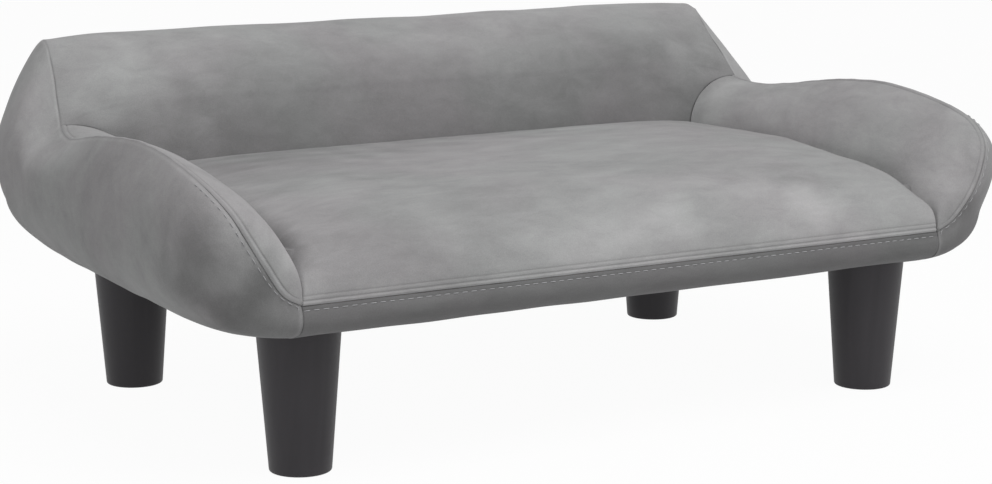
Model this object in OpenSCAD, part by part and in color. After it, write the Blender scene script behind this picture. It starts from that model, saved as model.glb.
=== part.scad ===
// Low sofa bed for a dog or a cat: an upholstered body on four tapered legs.
// Units are millimetres, +Z is up, +X is to the right seen from the front and +Y is to the back.
// The origin lies on the floor, under the middle of the body.
//
// The cloth panels meet at seams. Each seam is a curve through a few rows of shares, and each panel is a
// surface stretched between its seams, so the panels, the foam under them and the frame inside all follow
// the same sizes.

/* [Overall] */
// Width over the two arms
body_w = 700; // [620:10:860]
// Depth from the front of the arms to the back
body_d = 450; // [420:10:560]
// Height of the underside of the body above the floor
leg_h = 104; // [70:1:140]

/* [Upholstered body] */
// Rise of the backrest above the underside
back_rise = 176; // [166:1:210]
// Rise of the arm tops above the underside
arm_rise = 126; // [118:1:136]
// Rise of the seat crown above the underside
seat_rise = 86; // [82:1:94]
// Rise of the front seam above the underside
band_rise = 26.5; // [22:0.5:32]
// Thickness of an arm, from the seat to its outer side
arm_w = 75; // [68:1:90]
// Thickness of the backrest at the seat
back_t = 141; // [134:1:160]
// Thickness of the cover cloth with its backing
cover_t = 1.2; // [0.8:0.1:1.5]
// Groove left along each seam
seam_gap = 1.2; // [0.8:0.1:2]
// Clearance between cloth, foam and wood
soft_gap = 0.3; // [0.2:0.05:0.4]
// From the edge of the seat to the joint between seat foam and arm foam
foam_split = 25; // [23:1:30]

/* [Wooden frame] */
// Thickness of the boards and rails
board_t = 12; // [9:1:15]
// Thickness of the seat deck
deck_t = 6; // [4:1:8]
// Top of the seat deck above the underside
deck_rise = 58; // [54:1:60]
// Foam in front of the frame
front_pad = 36; // [34:1:40]
// Foam behind the frame
rear_pad = 23; // [18:1:28]
// From the edge of the seat to the side of the frame
side_pad = 4; // [3:0.5:6]
// Lean of the arm boards, in degrees
arm_lean = 15; // [10:1:18]
// Padding above the top edge of an arm board
arm_pad = 26; // [22:1:32]
// Thickness of a side rail along its foot
side_rail_t = 8; // [6:1:8]
// Height of the back board above the underside
back_board_rise = 144; // [130:1:148]
// Height and depth of the top rail of the back
top_rail_w = 14; // [12:1:16]
// Wood of a corner block beyond the axis of its leg
block_reach = 22; // [18:1:28]
// Thickness of the panel in front of the back braces
back_panel_t = 3; // [2:0.5:5]
// Depth of a back brace along its foot
brace_foot = 66; // [50:1:72]
// Depth of a back brace at its top
brace_head = 20; // [14:1:26]

/* [Legs] */
// Distance of a leg axis from the side of the frame
leg_from_side = 20.7; // [13:0.1:31]
// Distance of a front leg axis from the front of the frame
leg_from_front = 26.1; // [24:0.1:38]
// Distance of a rear leg axis from the back of the frame
leg_from_back = 51.1; // [45:0.1:65]
// Radius of a leg on the floor
foot_r = 22.4; // [18:0.1:26]
// Growth of the radius per unit of height
leg_taper = 0.0755; // [0.05:0.0005:0.09]
// Rounding of the foot's edge
foot_round = 1.6; // [1:0.1:3]
// Rounding of the leg's upper edge
head_round = 1; // [0.5:0.1:2]

/* [Fasteners] */
// Radius of a leg bolt
bolt_r = 4; // [3:0.5:4]
// Length of bolt fixed in the leg
bolt_in_leg = 26; // [20:1:32]
// Length of bolt above the leg
bolt_out = 24; // [18:1:28]
// Radius of a tee nut's barrel
nut_barrel_r = 5.2; // [5:0.1:5.6]
// Length of a tee nut's barrel
nut_barrel_l = 8.5; // [6:0.5:8.5]
// Radius of a tee nut's flange
nut_flange_r = 9.5; // [8:0.1:10]
// Thickness of a tee nut's flange
nut_flange_t = 1.4; // [1:0.1:1.6]
// Running clearance of a bolt in its nut
thread_gap = 0.08; // [0.04:0.01:0.09]
// Clearance of a fixed fastener in its hole
fit_gap = 0.05; // [0.02:0.01:0.08]
// Radius of a frame screw
screw_r = 2; // [1.5:0.1:2.2]
// Length of a frame screw under its head
screw_l = 20; // [16:1:21]
// Radius of a screw head
screw_head_r = 4; // [3.5:0.1:4.5]
// Thickness of a screw head
screw_head_t = 2; // [1.5:0.1:2.5]

/* [Underside] */
// Thickness of the dust cover
dust_t = 0.6; // [0.4:0.1:0.8]
// Clearance of the dust cover round a leg bolt
dust_gap = 4; // [2:0.5:6]

/* [Hidden] */
left = -1;
right = 1;
round_fn = 64;
hole_fn = 48;
overrun = 1;

// Steps of the surfaces: across the arm panels, across the width, and over the panel of an end.
arm_steps = 6;
width_steps = 10;
side_steps = 6;

// Levels and half sizes
half_w = body_w / 2;
half_d = body_d / 2;
seam_z = leg_h + band_rise;
seat_z = leg_h + seat_rise;
arm_z = leg_h + arm_rise;
seat_half_w = half_w - arm_w;
back_front_y = half_d - back_t;

// Places where several seams meet, as shares of the thickness and the rise that they follow
junction_shares = [0.44, 0.813, 0.86];
corner_shares = [0.53, 0.465, 0.956];
crease_shares = [1.24, 0.936, 0.85];
junction = [half_w - junction_shares.x * arm_w, half_d - junction_shares.y * back_t,
            seam_z + junction_shares.z * (arm_z - seam_z)];
back_corner = [half_w - corner_shares.x * arm_w, half_d - corner_shares.y * back_t,
               leg_h + corner_shares.z * back_rise];
crease_corner = [half_w - crease_shares.x * arm_w, half_d - crease_shares.y * back_t,
                 seam_z + crease_shares.z * (seat_z - seam_z)];

// Rows of the arm seam, from the front corner over the nose and the arm to the backrest:
// inward share of the arm, share of the way back, share of the rise, then how the side panel leaves there:
// share along its ridge, two shares of the leaving direction and one of its fullness.
arm_seam_shares = [
    [1.00, 0.016, 0.000, 0.00, 0.00, 0.52, 0.56],
    [0.79, 0.010, 0.095, 0.00, 0.00, 0.55, 0.60],
    [0.58, 0.000, 0.318, 0.00, 0.00, 0.60, 0.66],
    [0.44, 0.009, 0.503, 0.00, 0.00, 0.60, 0.68],
    [0.34, 0.031, 0.662, 0.00, 0.00, 0.55, 0.65],
    [0.26, 0.090, 0.800, 0.00, 0.05, 0.50, 0.62],
    [0.23, 0.182, 0.895, 0.00, 0.10, 0.45, 0.55],
    [0.23, 0.313, 0.968, 0.10, 0.20, 0.35, 0.55],
    [0.22, 0.447, 0.996, 0.27, 0.25, 0.30, 0.55],
    [0.19, 0.605, 0.958, 0.45, 0.25, 0.30, 0.55],
    [0.21, 0.710, 0.905, 0.57, 0.25, 0.30, 0.55],
    [0.25, 0.796, 0.854, 0.67, 0.25, 0.30, 0.55],
    [0.33, 0.888, 0.812, 0.78, 0.25, 0.30, 0.55],
    [0.39, 0.960, 0.824, 0.86, 0.25, 0.30, 0.55]
];
// Rows of the seam up the end of the backrest, as shares of the way from the junction to the corner.
end_seam_shares = [
    [0.00, 0.00, 0.00, 0.90, 0.15, 0.25, 0.55],
    [0.38, 0.354, 0.372, 0.92, 0.15, 0.22, 0.50],
    [0.72, 0.623, 0.628, 0.94, 0.15, 0.20, 0.50],
    [1.00, 1.00, 1.00, 0.97, 0.15, 0.20, 0.45]
];
// Rows over the top and down the rear: inward share of the arm, share of the back's thickness, of its rise.
rear_seam_shares = [
    [0.56, 0.369, 0.977, 1.00, 0.10, 0.30, 0.30],
    [0.59, 0.248, 0.949, 1.00, 0.05, 0.32, 0.30],
    [0.63, 0.117, 0.855, 1.00, 0.00, 0.40, 0.35],
    [0.67, 0.039, 0.744, 1.00, 0.00, 0.45, 0.45],
    [0.69, 0.000, 0.574, 1.00, 0.00, 0.55, 0.58],
    [0.72, 0.000, 0.261, 1.00, 0.00, 0.52, 0.50],
    [0.79, 0.021, 0.097, 1.00, 0.00, 0.45, 0.40],
    [0.91, 0.099, 0.020, 1.00, 0.00, 0.45, 0.42]
];
// Rows of the hem under the end: inward share of the arm, share of the half depth, ridge and leaving shares.
hem_shares = [
    [1.04, 0.836, 1.00, 0.56, 0.55],
    [1.067, 0.533, 0.93, 0.66, 0.62],
    [1.067, 0.000, 0.52, 0.70, 0.68],
    [1.067, -0.533, 0.10, 0.74, 0.72],
    [1.01, -0.844, 0.00, 0.66, 0.66]
];
// Section of the front band below its seam: shares of the band's rise behind the seam and above the hem.
band_shares = [[0, 1], [-0.087, 0.68], [-0.02, 0.415], [0.245, 0.19], [0.8, 0.015], [1.3, 0]];
// How the side panel leaves each row of the band's end
band_end_shares = [[0.52, 0.56], [0.53, 0.55], [0.55, 0.55], [0.58, 0.58]];
// Ridge of the side panel: share of the half depth and of the back's rise at its two ends, and the share of
// the way to the seam at which the flat middle of the panel ends.
ridge_shares = [[-0.711, 0.364], [0.6, 0.42]];
flat_share = 0.12;

// Crease between the seat and an arm: inward share of the arm, share of the way back, share of the rise.
seat_edge_shares = [
    [1.00, 0.017, 0.000], [1.007, 0.019, 0.193], [1.007, 0.035, 0.345], [1.007, 0.063, 0.471],
    [1.007, 0.110, 0.597], [1.007, 0.189, 0.697], [1.027, 0.299, 0.773], [1.067, 0.497, 0.849],
    [1.133, 0.708, 0.866], [1.24, 1.0, 0.85]
];
// Crown of the seat along its middle: share of the way back, share of the rise.
seat_crown_shares = [
    [0.018, 0.000], [0.003, 0.193], [0.010, 0.412], [0.039, 0.597], [0.087, 0.748],
    [0.172, 0.866], [0.291, 0.933], [0.511, 0.983], [0.728, 1.000], [1.000, 0.950]
];
// Share of the crease that each row of the arm seam is joined to
crease_pair_shares = [0, 0.1, 0.2, 0.3, 0.37, 0.45, 0.53, 0.62, 0.74, 0.83, 0.875, 0.91, 0.945, 0.975, 1];
// Directions in which the arm's inner panel leaves the seam and the crease, as shares of the arm.
arm_handle_shares = [
    [[-0.02, -0.01, 0.02], [-0.01, -0.01, 0.02]],
    [[-0.09, -0.03, 0.05], [0.01, -0.03, 0.10]],
    [[-0.13, -0.03, 0.11], [0.03, -0.04, 0.15]],
    [[-0.15, -0.01, 0.17], [0.08, -0.03, 0.20]],
    [[-0.22, 0.03, 0.14], [0.10, -0.01, 0.22]],
    [[-0.29, 0.03, 0.03], [0.11, 0.00, 0.24]],
    [[-0.32, 0.00, -0.05], [0.10, 0.00, 0.28]],
    [[-0.31, 0.00, -0.09], [0.10, 0.00, 0.31]],
    [[-0.31, 0.00, -0.09], [0.10, 0.00, 0.31]],
    [[-0.34, 0.00, -0.07], [0.10, 0.00, 0.32]],
    [[-0.37, 0.00, -0.02], [0.10, 0.00, 0.33]],
    [[-0.40, 0.00, 0.04], [0.10, 0.03, 0.33]],
    [[-0.41, 0.00, 0.10], [0.10, 0.07, 0.31]],
    [[-0.39, 0.01, 0.08], [0.10, 0.08, 0.31]],
    [[-0.34, 0.00, 0.03], [0.11, 0.11, 0.30]]
];
// First row of the arm's inner panel, as a share of the first step of its seam
first_row_share = 0.4;

// Middle of the backrest: the leaning front ends at the shoulder, then the rows of the end and the rear
// follow, as shares of the back's thickness from the rear and of the back's rise.
shoulder_shares = [0.844, 0.75];
back_front_shares = [[0.759, 0.847], [0.582, 0.943], [0.426, 0.989]];
back_rear_shares = [
    [0.27, 0.992], [0.135, 0.943], [0.05, 0.841], [0.011, 0.705],
    [0, 0.489], [0, 0.205], [0.011, 0.068], [0.085, 0.003]
];
// Fullness of the seat's crown across its width, and of the backrest
crown_power = 2;
edge_power = 9;
back_power = 7;
crown_share = 0.4;

// Small functions
function unit(v) = v / norm(v);
function lerp(a, b, t) = a + (b - a) * t;
function each_share(a, b, s) = [for (k = [0:2]) lerp(a[k], b[k], s[k])];
function bezier(a, b, c, d, t) =
    pow(1 - t, 3) * a + 3 * t * pow(1 - t, 2) * b + 3 * t * t * (1 - t) * c + pow(t, 3) * d;

// Point at share t of a smooth curve through rows
function row_at(rows, t) =
    let (n = len(rows) - 1,
         f = min(max(t, 0), 1) * n,
         i = min(floor(f), n - 1),
         r = f - i,
         b = rows[i],
         c = rows[i + 1],
         a = i > 0 ? rows[i - 1] : 2 * b - c,
         d = i < n - 1 ? rows[i + 2] : 2 * c - b)
    (2 * b + (c - a) * r + (2 * a - 5 * b + 4 * c - d) * r * r + (3 * b - a - 3 * c + d) * r * r * r) / 2;

// Outward normals of a grid, whose rows close on themselves if ring is true
function grid_normals(g, ring, side) =
    let (m = len(g), n = len(g[0]))
    [for (i = [0:m - 1]) [for (j = [0:n - 1])
        let (i0 = ring ? (i + m - 1) % m : max(i - 1, 0),
             i1 = ring ? (i + 1) % m : min(i + 1, m - 1),
             j0 = max(j - 1, 0),
             j1 = min(j + 1, n - 1))
        side * unit(cross(g[i1][j] - g[i0][j], g[i][j1] - g[i][j0]))]];
function moved(g, normals, distance) =
    [for (i = [0:len(g) - 1]) [for (j = [0:len(g[0]) - 1]) g[i][j] + distance * normals[i][j]]];

// A row of points with its two ends drawn in along it and the others left in place
function drawn_in(row, first, last) =
    let (n = len(row) - 1,
         a = first / norm(row[1] - row[0]) / n,
         b = last / norm(row[n] - row[n - 1]) / n)
    [for (j = [0:n]) j == 0 ? row_at(row, a) : j == n ? row_at(row, 1 - b) : row[j]];
function turned(g) = [for (j = [0:len(g[0]) - 1]) [for (i = [0:len(g) - 1]) g[i][j]]];
function trimmed(g, gap) =
    turned([for (row = turned([for (row = g) drawn_in(row, gap, gap)])) drawn_in(row, gap, gap)]);

// Point of a row at a distance x from the middle, on the straight line between two of its points
function across(row, x) =
    let (k = [for (j = [0:len(row) - 2]) if (row[j].x <= x && x <= row[j + 1].x) j][0])
    lerp(row[k], row[k + 1], (x - row[k].x) / (row[k + 1].x - row[k].x));

// Seams of the right end of the body
front_seam_y = -half_d + arm_seam_shares[0].y * (junction.y + half_d);
function seam_row(s) =
    concat([half_w - s.x * arm_w, lerp(-half_d, junction.y, s.y), lerp(seam_z, arm_z, s.z)],
           [s[3], s[4], s[5], s[6]]);
arm_rows = concat([for (s = arm_seam_shares) seam_row(s)], [concat(junction, [0.9, 0.25, 0.25, 0.55])]);
end_rows = [for (s = end_seam_shares)
    concat(each_share(junction, back_corner, s), [s[3], s[4], s[5], s[6]])];
rear_rows = [for (s = rear_seam_shares)
    concat([half_w - s.x * arm_w, half_d - s.y * back_t, leg_h + s.z * back_rise], [s[3], s[4], s[5], s[6]])];
hem_rows = [for (s = hem_shares)
    [half_w - s.x * arm_w, s.y * half_d, leg_h, s[2], 0, s[3], s[4]]];
function band_point(k) = [front_seam_y + band_shares[k].x * band_rise, leg_h + band_shares[k].y * band_rise];
band_end_rows = [for (k = [3:-1:1])
    [seat_half_w, band_point(k).x, band_point(k).y, 0, 0, band_end_shares[k].x, band_end_shares[k].y]];
end_loop = concat(arm_rows, [for (k = [1:3]) end_rows[k]], rear_rows, hem_rows, band_end_rows);

// Side panel: each row of the loop swells to the flat middle of the panel.
function ridge_at(t) =
    [half_w, lerp(ridge_shares[0].x, ridge_shares[1].x, t) * half_d,
     leg_h + lerp(ridge_shares[0].y, ridge_shares[1].y, t) * back_rise];
function side_row(r) =
    let (seam = [r.x, r.y, r.z],
         ridge = ridge_at(r[3]),
         inner = [half_w, lerp(ridge.y, r.y, flat_share), lerp(ridge.z, r.z, flat_share)])
    [for (k = [0:side_steps])
        let (t = k / side_steps,
             along = bezier(0, r[4], 1 - r[6], 1, t),
             out = bezier(0, r[5], 1, 1, t))
        [lerp(seam.x, inner.x, out), lerp(seam.y, inner.y, along), lerp(seam.z, inner.z, along)]];
side_grid = [for (r = end_loop) side_row(r)];
side_normals = grid_normals(side_grid, true, -1);

// Arm's inner panel, from the seam down to the crease of the seat
crease_rows = [for (s = seat_edge_shares)
    [half_w - s.x * arm_w, lerp(-half_d, crease_corner.y, s.y), lerp(seam_z, seat_z, s.z)]];
function arm_row(t) =
    let (seam = row_at(arm_rows, t),
         foot = row_at(crease_rows, row_at(crease_pair_shares, t)),
         lean = arm_w * row_at([for (h = arm_handle_shares) h[0]], t),
         rise = arm_w * row_at([for (h = arm_handle_shares) h[1]], t),
         top = [seam.x, seam.y, seam.z])
    [for (k = [0:arm_steps]) bezier(top, top + lean, foot + rise, foot, k / arm_steps)];
arm_count = len(arm_rows) - 1;
arm_grid = [for (i = [0:arm_count]) arm_row(max(i, first_row_share) / arm_count)];
arm_normals = grid_normals(arm_grid, false, 1);

// Seat panel, from the front seam to the crease of the backrest
function seat_middle(t) =
    let (s = row_at(seat_crown_shares, t))
    [lerp(-half_d, back_front_y, s.x), lerp(seam_z, seat_z, s.y)];
function width_share(k) = sin(90 * (2 * k / width_steps - 1));
function back_swell(u) = 1 - pow(abs(u), back_power);
function seat_swell(u, t) =
    lerp(1 - crown_share * pow(abs(u), crown_power) - (1 - crown_share) * pow(abs(u), edge_power),
         back_swell(u), pow(t, 3));
function seat_row(t) =
    let (edge = row_at(crease_rows, t), middle = seat_middle(t))
    [for (k = [0:width_steps])
        let (u = width_share(k), w = seat_swell(u, t))
        [u * edge.x, lerp(edge.y, middle.x, w), lerp(edge.z, middle.y, w)]];
seat_grid = [for (t = crease_pair_shares) seat_row(t)];
seat_normals = grid_normals(seat_grid, false, -1);

// Front band, from its seam down and under the frame
band_grid = [for (k = [0:len(band_shares) - 1]) [for (i = [0:width_steps])
    [width_share(i) * seat_half_w, band_point(k).x, band_point(k).y]]];
band_normals = grid_normals(band_grid, false, 1);

// Backrest panel: up the front from the crease, over the top and down the rear. Its ends follow the arch
// of the arm, the end seam and the rear seam, and its middle follows the profile.
crease_middle = seat_middle(1);
shoulder = [half_d - shoulder_shares.x * back_t, leg_h + shoulder_shares.y * back_rise];
function profile_row(s) = [half_d - s.x * back_t, leg_h + s.y * back_rise];
back_middle = concat([for (k = [0:arm_steps]) lerp(crease_middle, shoulder, k / arm_steps)],
                     [for (s = back_front_shares) profile_row(s)], [for (s = back_rear_shares) profile_row(s)]);
arch = arm_grid[arm_count];
back_ends = concat([for (k = [0:arm_steps]) arch[arm_steps - k]],
                   [for (k = [1:3]) [end_rows[k].x, end_rows[k].y, end_rows[k].z]],
                   [for (r = rear_rows) [r.x, r.y, r.z]]);
function back_point(i, x) =
    let (edge = back_ends[i], w = back_swell(x / edge.x))
    [x, lerp(edge.y, back_middle[i].x, w), lerp(edge.z, back_middle[i].y, w)];
back_grid = [for (i = [0:len(back_ends) - 1]) [for (k = [0:width_steps])
    back_point(i, width_share(k) * back_ends[i].x)]];
back_normals = grid_normals(back_grid, false, -1);

// Closed solid between two grids of the same size. From column middle on, the diagonals of its faces turn
// round, so that a panel over the whole width is the same on its two halves.
module between(upper, lower, middle = 0) {
    m = len(upper);
    n = len(upper[0]);
    points = [for (g = [upper, lower]) each [for (row = g) each row]];
    function at(side, i, j) = side * m * n + i * n + j;
    function quad(a, b, c, d) = [[a, b, c], [a, c, d]];
    skins = [for (i = [0:m - 2]) for (j = [0:n - 2]) each j < middle
        ? concat(quad(at(0, i + 1, j), at(0, i + 1, j + 1), at(0, i, j + 1), at(0, i, j)),
                 quad(at(1, i, j + 1), at(1, i + 1, j + 1), at(1, i + 1, j), at(1, i, j)))
        : concat(quad(at(0, i, j), at(0, i + 1, j), at(0, i + 1, j + 1), at(0, i, j + 1)),
                 quad(at(1, i, j), at(1, i, j + 1), at(1, i + 1, j + 1), at(1, i + 1, j)))];
    rims = concat(
        [for (i = [0:m - 2]) each quad(at(0, i, 0), at(1, i, 0), at(1, i + 1, 0), at(0, i + 1, 0))],
        [for (i = [0:m - 2])
            each quad(at(0, i, n - 1), at(0, i + 1, n - 1), at(1, i + 1, n - 1), at(1, i, n - 1))],
        [for (j = [0:n - 2]) each quad(at(0, 0, j), at(0, 0, j + 1), at(1, 0, j + 1), at(1, 0, j))],
        [for (j = [0:n - 2])
            each quad(at(0, m - 1, j), at(1, m - 1, j), at(1, m - 1, j + 1), at(0, m - 1, j + 1))]);
    polyhedron(points, concat(skins, rims), convexity = 6);
}

// Closed solid through rings that are listed from one flat cap to the other. A cap that isn't convex has
// a hub, a point from which all of it is seen. From ring back_ring on, the rings run back under the first
// ones, and the diagonals of the faces turn round to lie under theirs.
module through_rings(rings, hub, back_ring) {
    m = len(rings);
    n = len(rings[0]);
    points = concat([for (ring = rings) each ring], [hub]);
    walls = [for (i = [0:m - 2]) for (j = [0:n - 1])
        let (k = (j + 1) % n, a = i * n + j, b = i * n + k, c = (i + 1) * n + k, d = (i + 1) * n + j)
        each i < back_ring ? [[a, d, c], [a, c, b]] : [[a, d, b], [b, d, c]]];
    first = [for (j = [0:n - 1]) j];
    last = (m - 1) * n;
    fan = [for (j = [0:n - 1]) [m * n, last + (j + 1) % n, last + j]];
    polyhedron(points, concat(walls, [first], fan), convexity = 8);
}

module on_side(side) {
    if (side == left) mirror([1, 0, 0]) children();
    else children();
}

// Colours
cloth = [0.55, 0.55, 0.56];
foam = [0.93, 0.88, 0.72];
plywood = [0.80, 0.65, 0.44];
leg_black = [0.16, 0.15, 0.16];
steel = [0.72, 0.73, 0.75];
felt_black = [0.08, 0.08, 0.09];

// Frame places
hem_top = leg_h + cover_t + soft_gap;
board_top = hem_top + board_t;
deck_top = leg_h + deck_rise;
rail_top = deck_top - deck_t;
rail_h = rail_top - board_top;
frame_x = seat_half_w - side_pad;
side_rail_x = frame_x - side_rail_t;
frame_front = -half_d + front_pad;
back_board_rear = half_d - rear_pad;
frame_rear = back_board_rear - board_t;
rail_front = frame_front + board_t;
rail_rear = frame_rear - board_t;
back_board_top = leg_h + back_board_rise;
split_x = seat_half_w - foam_split;
brace_x = split_x - board_t;
brace_count = 4;
lean_reach = tan(arm_lean);
panel_reach = back_panel_t * norm([brace_foot - brace_head, back_board_top - deck_top]) /
    (back_board_top - deck_top);

// Leg places
leg_x = frame_x - leg_from_side;
leg_front_y = frame_front + leg_from_front;
leg_rear_y = frame_rear - leg_from_back;
leg_top = leg_h - soft_gap;
leg_top_r = foot_r + leg_taper * leg_top;
bolt_l = bolt_in_leg + bolt_out;
bolt_tip = 0.3 * bolt_r;

module box(low, high) {
    translate(low) cube(high - low);
}

// Everything at the four legs
module at_legs() {
    for (side = [left, right]) for (y = [leg_front_y, leg_rear_y])
        translate([side * leg_x, y, 0]) children();
}

// Wood screw along -Z with the top of its head at the origin; sinking adds room above the head.
module screw(grow, sinking) {
    translate([0, 0, -screw_head_t - screw_l - grow])
        cylinder(r = screw_r + grow, h = screw_l + screw_head_t / 2 + grow, $fn = hole_fn);
    translate([0, 0, -screw_head_t - grow])
        cylinder(r = screw_head_r + grow, h = screw_head_t + grow + sinking, $fn = hole_fn);
}

// Screws through the rails into the corner blocks
rail_screw_x = leg_x - (nut_flange_r + block_reach) / 2;
module rail_screws(grow, sinking) {
    for (side = [left, right]) {
        translate([side * rail_screw_x, frame_front, board_top + rail_h / 2])
            rotate([90, 0, 0]) screw(grow, sinking);
        translate([side * rail_screw_x, frame_rear, board_top + rail_h / 2])
            rotate([-90, 0, 0]) screw(grow, sinking);
    }
}

// Screws through the back board into the braces
brace_screw_z = (deck_top + back_board_top) / 2;
function brace_place(k) = lerp(-brace_x, brace_x, k / (brace_count - 1));
module brace_screws(grow, sinking) {
    for (k = [0:brace_count - 1])
        translate([brace_place(k), back_board_rear, brace_screw_z])
            rotate([-90, 0, 0]) screw(grow, sinking);
}

// An arm board leans outward from the top of the base board.
module arm_place() {
    translate([frame_x, 0, board_top]) rotate([0, arm_lean, 0]) children();
}
arm_screw_shares = [0.15, 0.5, 0.85];
module arm_screws(grow, sinking) {
    for (s = arm_screw_shares)
        arm_place() translate([board_t, lerp(frame_front, frame_rear, s), rail_h / 2])
            rotate([0, 90, 0]) screw(grow, sinking);
}

// Outline of an arm board, as deep as the frame and a pad's thickness below the arm seam
arm_board_rows = [for (k = [5:arm_count]) arm_rows[k]];
function board_rise(z, grow) = (z - arm_pad + grow - board_top) / cos(arm_lean);
function arm_outline(grow) = concat(
    [[frame_rear + 2 * grow, -grow], [frame_front - 2 * grow, -grow],
     [frame_front - 2 * grow, board_rise(arm_board_rows[0].z, grow)]],
    [for (k = [1:len(arm_board_rows) - 1])
        [arm_board_rows[k].y, board_rise(arm_board_rows[k].z, grow)]],
    [[frame_rear + 2 * grow, board_rise(junction.z, grow)]]);
module arm_slab(grow) {
    arm_place() translate([-grow, 0, 0])
        rotate([90, 0, 90]) linear_extrude(board_t + 2 * grow) polygon(arm_outline(grow));
}

// Wedge that fills a side rail's leaning outer side
module rail_section(inner_x, grow) {
    z = rail_top + grow;
    polygon([[inner_x, board_top], [inner_x, z], [frame_x + (z - board_top) * lean_reach, z],
             [frame_x, board_top]]);
}

module base_board() color(plywood) difference() {
    box([-frame_x, frame_front, hem_top], [frame_x, back_board_rear, board_top]);
    at_legs() translate([0, 0, hem_top - overrun])
        cylinder(r = nut_barrel_r + fit_gap, h = board_t + 2 * overrun, $fn = hole_fn);
}

module front_rail() color(plywood) difference() {
    box([-frame_x, frame_front, board_top], [frame_x, rail_front, rail_top]);
    rail_screws(fit_gap, overrun);
}

module rear_rail() color(plywood) difference() {
    box([-frame_x, rail_rear, board_top], [frame_x, frame_rear, rail_top]);
    rail_screws(fit_gap, overrun);
}

module side_rail(side) color(plywood) on_side(side) difference() {
    translate([0, rail_rear, 0]) rotate([90, 0, 0])
        linear_extrude(rail_rear - rail_front) rail_section(side_rail_x, 0);
    arm_screws(fit_gap, overrun);
}

// Blocks in the corners, bored for the tee nuts and the leg bolts
module corner_blocks() color(plywood) difference() {
    for (side = [left, right]) on_side(side) {
        box([leg_x - block_reach, rail_front, board_top],
            [side_rail_x, leg_front_y + block_reach, rail_top]);
        box([leg_x - block_reach, leg_rear_y - block_reach, board_top],
            [side_rail_x, rail_rear, rail_top]);
    }
    at_legs() translate([0, 0, board_top - overrun])
        cylinder(r = nut_flange_r + soft_gap, h = rail_h + 2 * overrun, $fn = hole_fn);
    rail_screws(fit_gap, overrun);
}

module seat_deck() color(plywood)
    box([-frame_x, frame_front, rail_top], [frame_x, frame_rear, deck_top]);

module arm_board(side) color(plywood) on_side(side) difference() {
    arm_slab(0);
    arm_screws(fit_gap, overrun);
}

module back_board() color(plywood) difference() {
    box([-frame_x, frame_rear, board_top], [frame_x, back_board_rear, back_board_top]);
    brace_screws(fit_gap, overrun);
}

// Braces with a notch for the top rail
module back_braces() color(plywood) difference() {
    for (k = [0:brace_count - 1])
        translate([brace_place(k) - board_t / 2, 0, 0]) rotate([90, 0, 90])
            linear_extrude(board_t) polygon([
                [frame_rear, deck_top], [frame_rear - brace_foot, deck_top],
                [frame_rear - brace_head, back_board_top], [frame_rear - top_rail_w, back_board_top],
                [frame_rear - top_rail_w, back_board_top - top_rail_w],
                [frame_rear, back_board_top - top_rail_w]]);
    brace_screws(fit_gap, overrun);
}

module back_top_rail() color(plywood)
    box([-brace_x - board_t / 2, frame_rear - top_rail_w, back_board_top - top_rail_w],
        [brace_x + board_t / 2, frame_rear, back_board_top]);

module back_panel() color(plywood)
    translate([-brace_x - board_t / 2, 0, 0]) rotate([90, 0, 90])
        linear_extrude(2 * brace_x + board_t) polygon([
            [frame_rear - brace_foot, deck_top], [frame_rear - brace_foot - panel_reach, deck_top],
            [frame_rear - brace_head - panel_reach, back_board_top],
            [frame_rear - brace_head, back_board_top]]);

module frame_screws() color(steel) {
    rail_screws(0, 0);
    brace_screws(0, 0);
    for (side = [left, right]) on_side(side) arm_screws(0, 0);
}

// Tee nuts: a barrel in the base board under a round flange
module tee_nuts() color(steel) at_legs() translate([0, 0, board_top]) difference() {
    union() {
        cylinder(r = nut_flange_r, h = nut_flange_t, $fn = round_fn);
        translate([0, 0, -nut_barrel_l]) cylinder(r = nut_barrel_r, h = nut_barrel_l, $fn = round_fn);
    }
    translate([0, 0, -nut_barrel_l - overrun])
        cylinder(r = bolt_r + thread_gap, h = nut_barrel_l + nut_flange_t + 2 * overrun, $fn = hole_fn);
}

// Thin cloth that closes the underside between the hems
dust_x = half_w - hem_shares[1].x * arm_w - seam_gap;
dust_front = band_point(len(band_shares) - 1).x + seam_gap;
dust_rear = half_d - rear_seam_shares[len(rear_seam_shares) - 1].y * back_t - 2 * seam_gap;
module dust_cover() color(felt_black) difference() {
    box([-dust_x, dust_front, leg_h], [dust_x, dust_rear, leg_h + dust_t]);
    at_legs() translate([0, 0, leg_h - overrun])
        cylinder(r = bolt_r + dust_gap, h = dust_t + 2 * overrun, $fn = hole_fn);
}

// Cloth panels
module cloth_panel(g, normals, middle = 0) {
    outer = trimmed(g, seam_gap);
    inner = trimmed(moved(g, normals, -cover_t), seam_gap);
    between(outer, inner, middle);
}

module seat_cover() color(cloth) cloth_panel(seat_grid, seat_normals, width_steps / 2);
module front_band() color(cloth) cloth_panel(turned(band_grid), turned(band_normals));
module back_cover() color(cloth) cloth_panel(back_grid, back_normals, width_steps / 2);
module arm_inner_cover(side) color(cloth)
    on_side(side) cloth_panel(turned(arm_grid), turned(arm_normals));

// The side panel's rings run from its flat middle to the seam and back inside.
module side_cover(side) color(cloth) on_side(side) {
    outer = [for (row = side_grid) drawn_in(row, seam_gap, 0)];
    inner = [for (row = moved(side_grid, side_normals, -cover_t)) drawn_in(row, seam_gap, 0)];
    flat = [for (row = side_grid) row[side_steps]];
    through_rings(concat(
        [flat],
        [for (k = [side_steps - 1:-1:0]) [for (row = outer) row[k]]],
        [for (k = [0:side_steps - 1]) [for (row = inner) row[k]]],
        [[for (p = flat) p - [cover_t, 0, 0]]]), ridge_at(1 / 2) - [cover_t, 0, 0], side_steps + 1);
}

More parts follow.
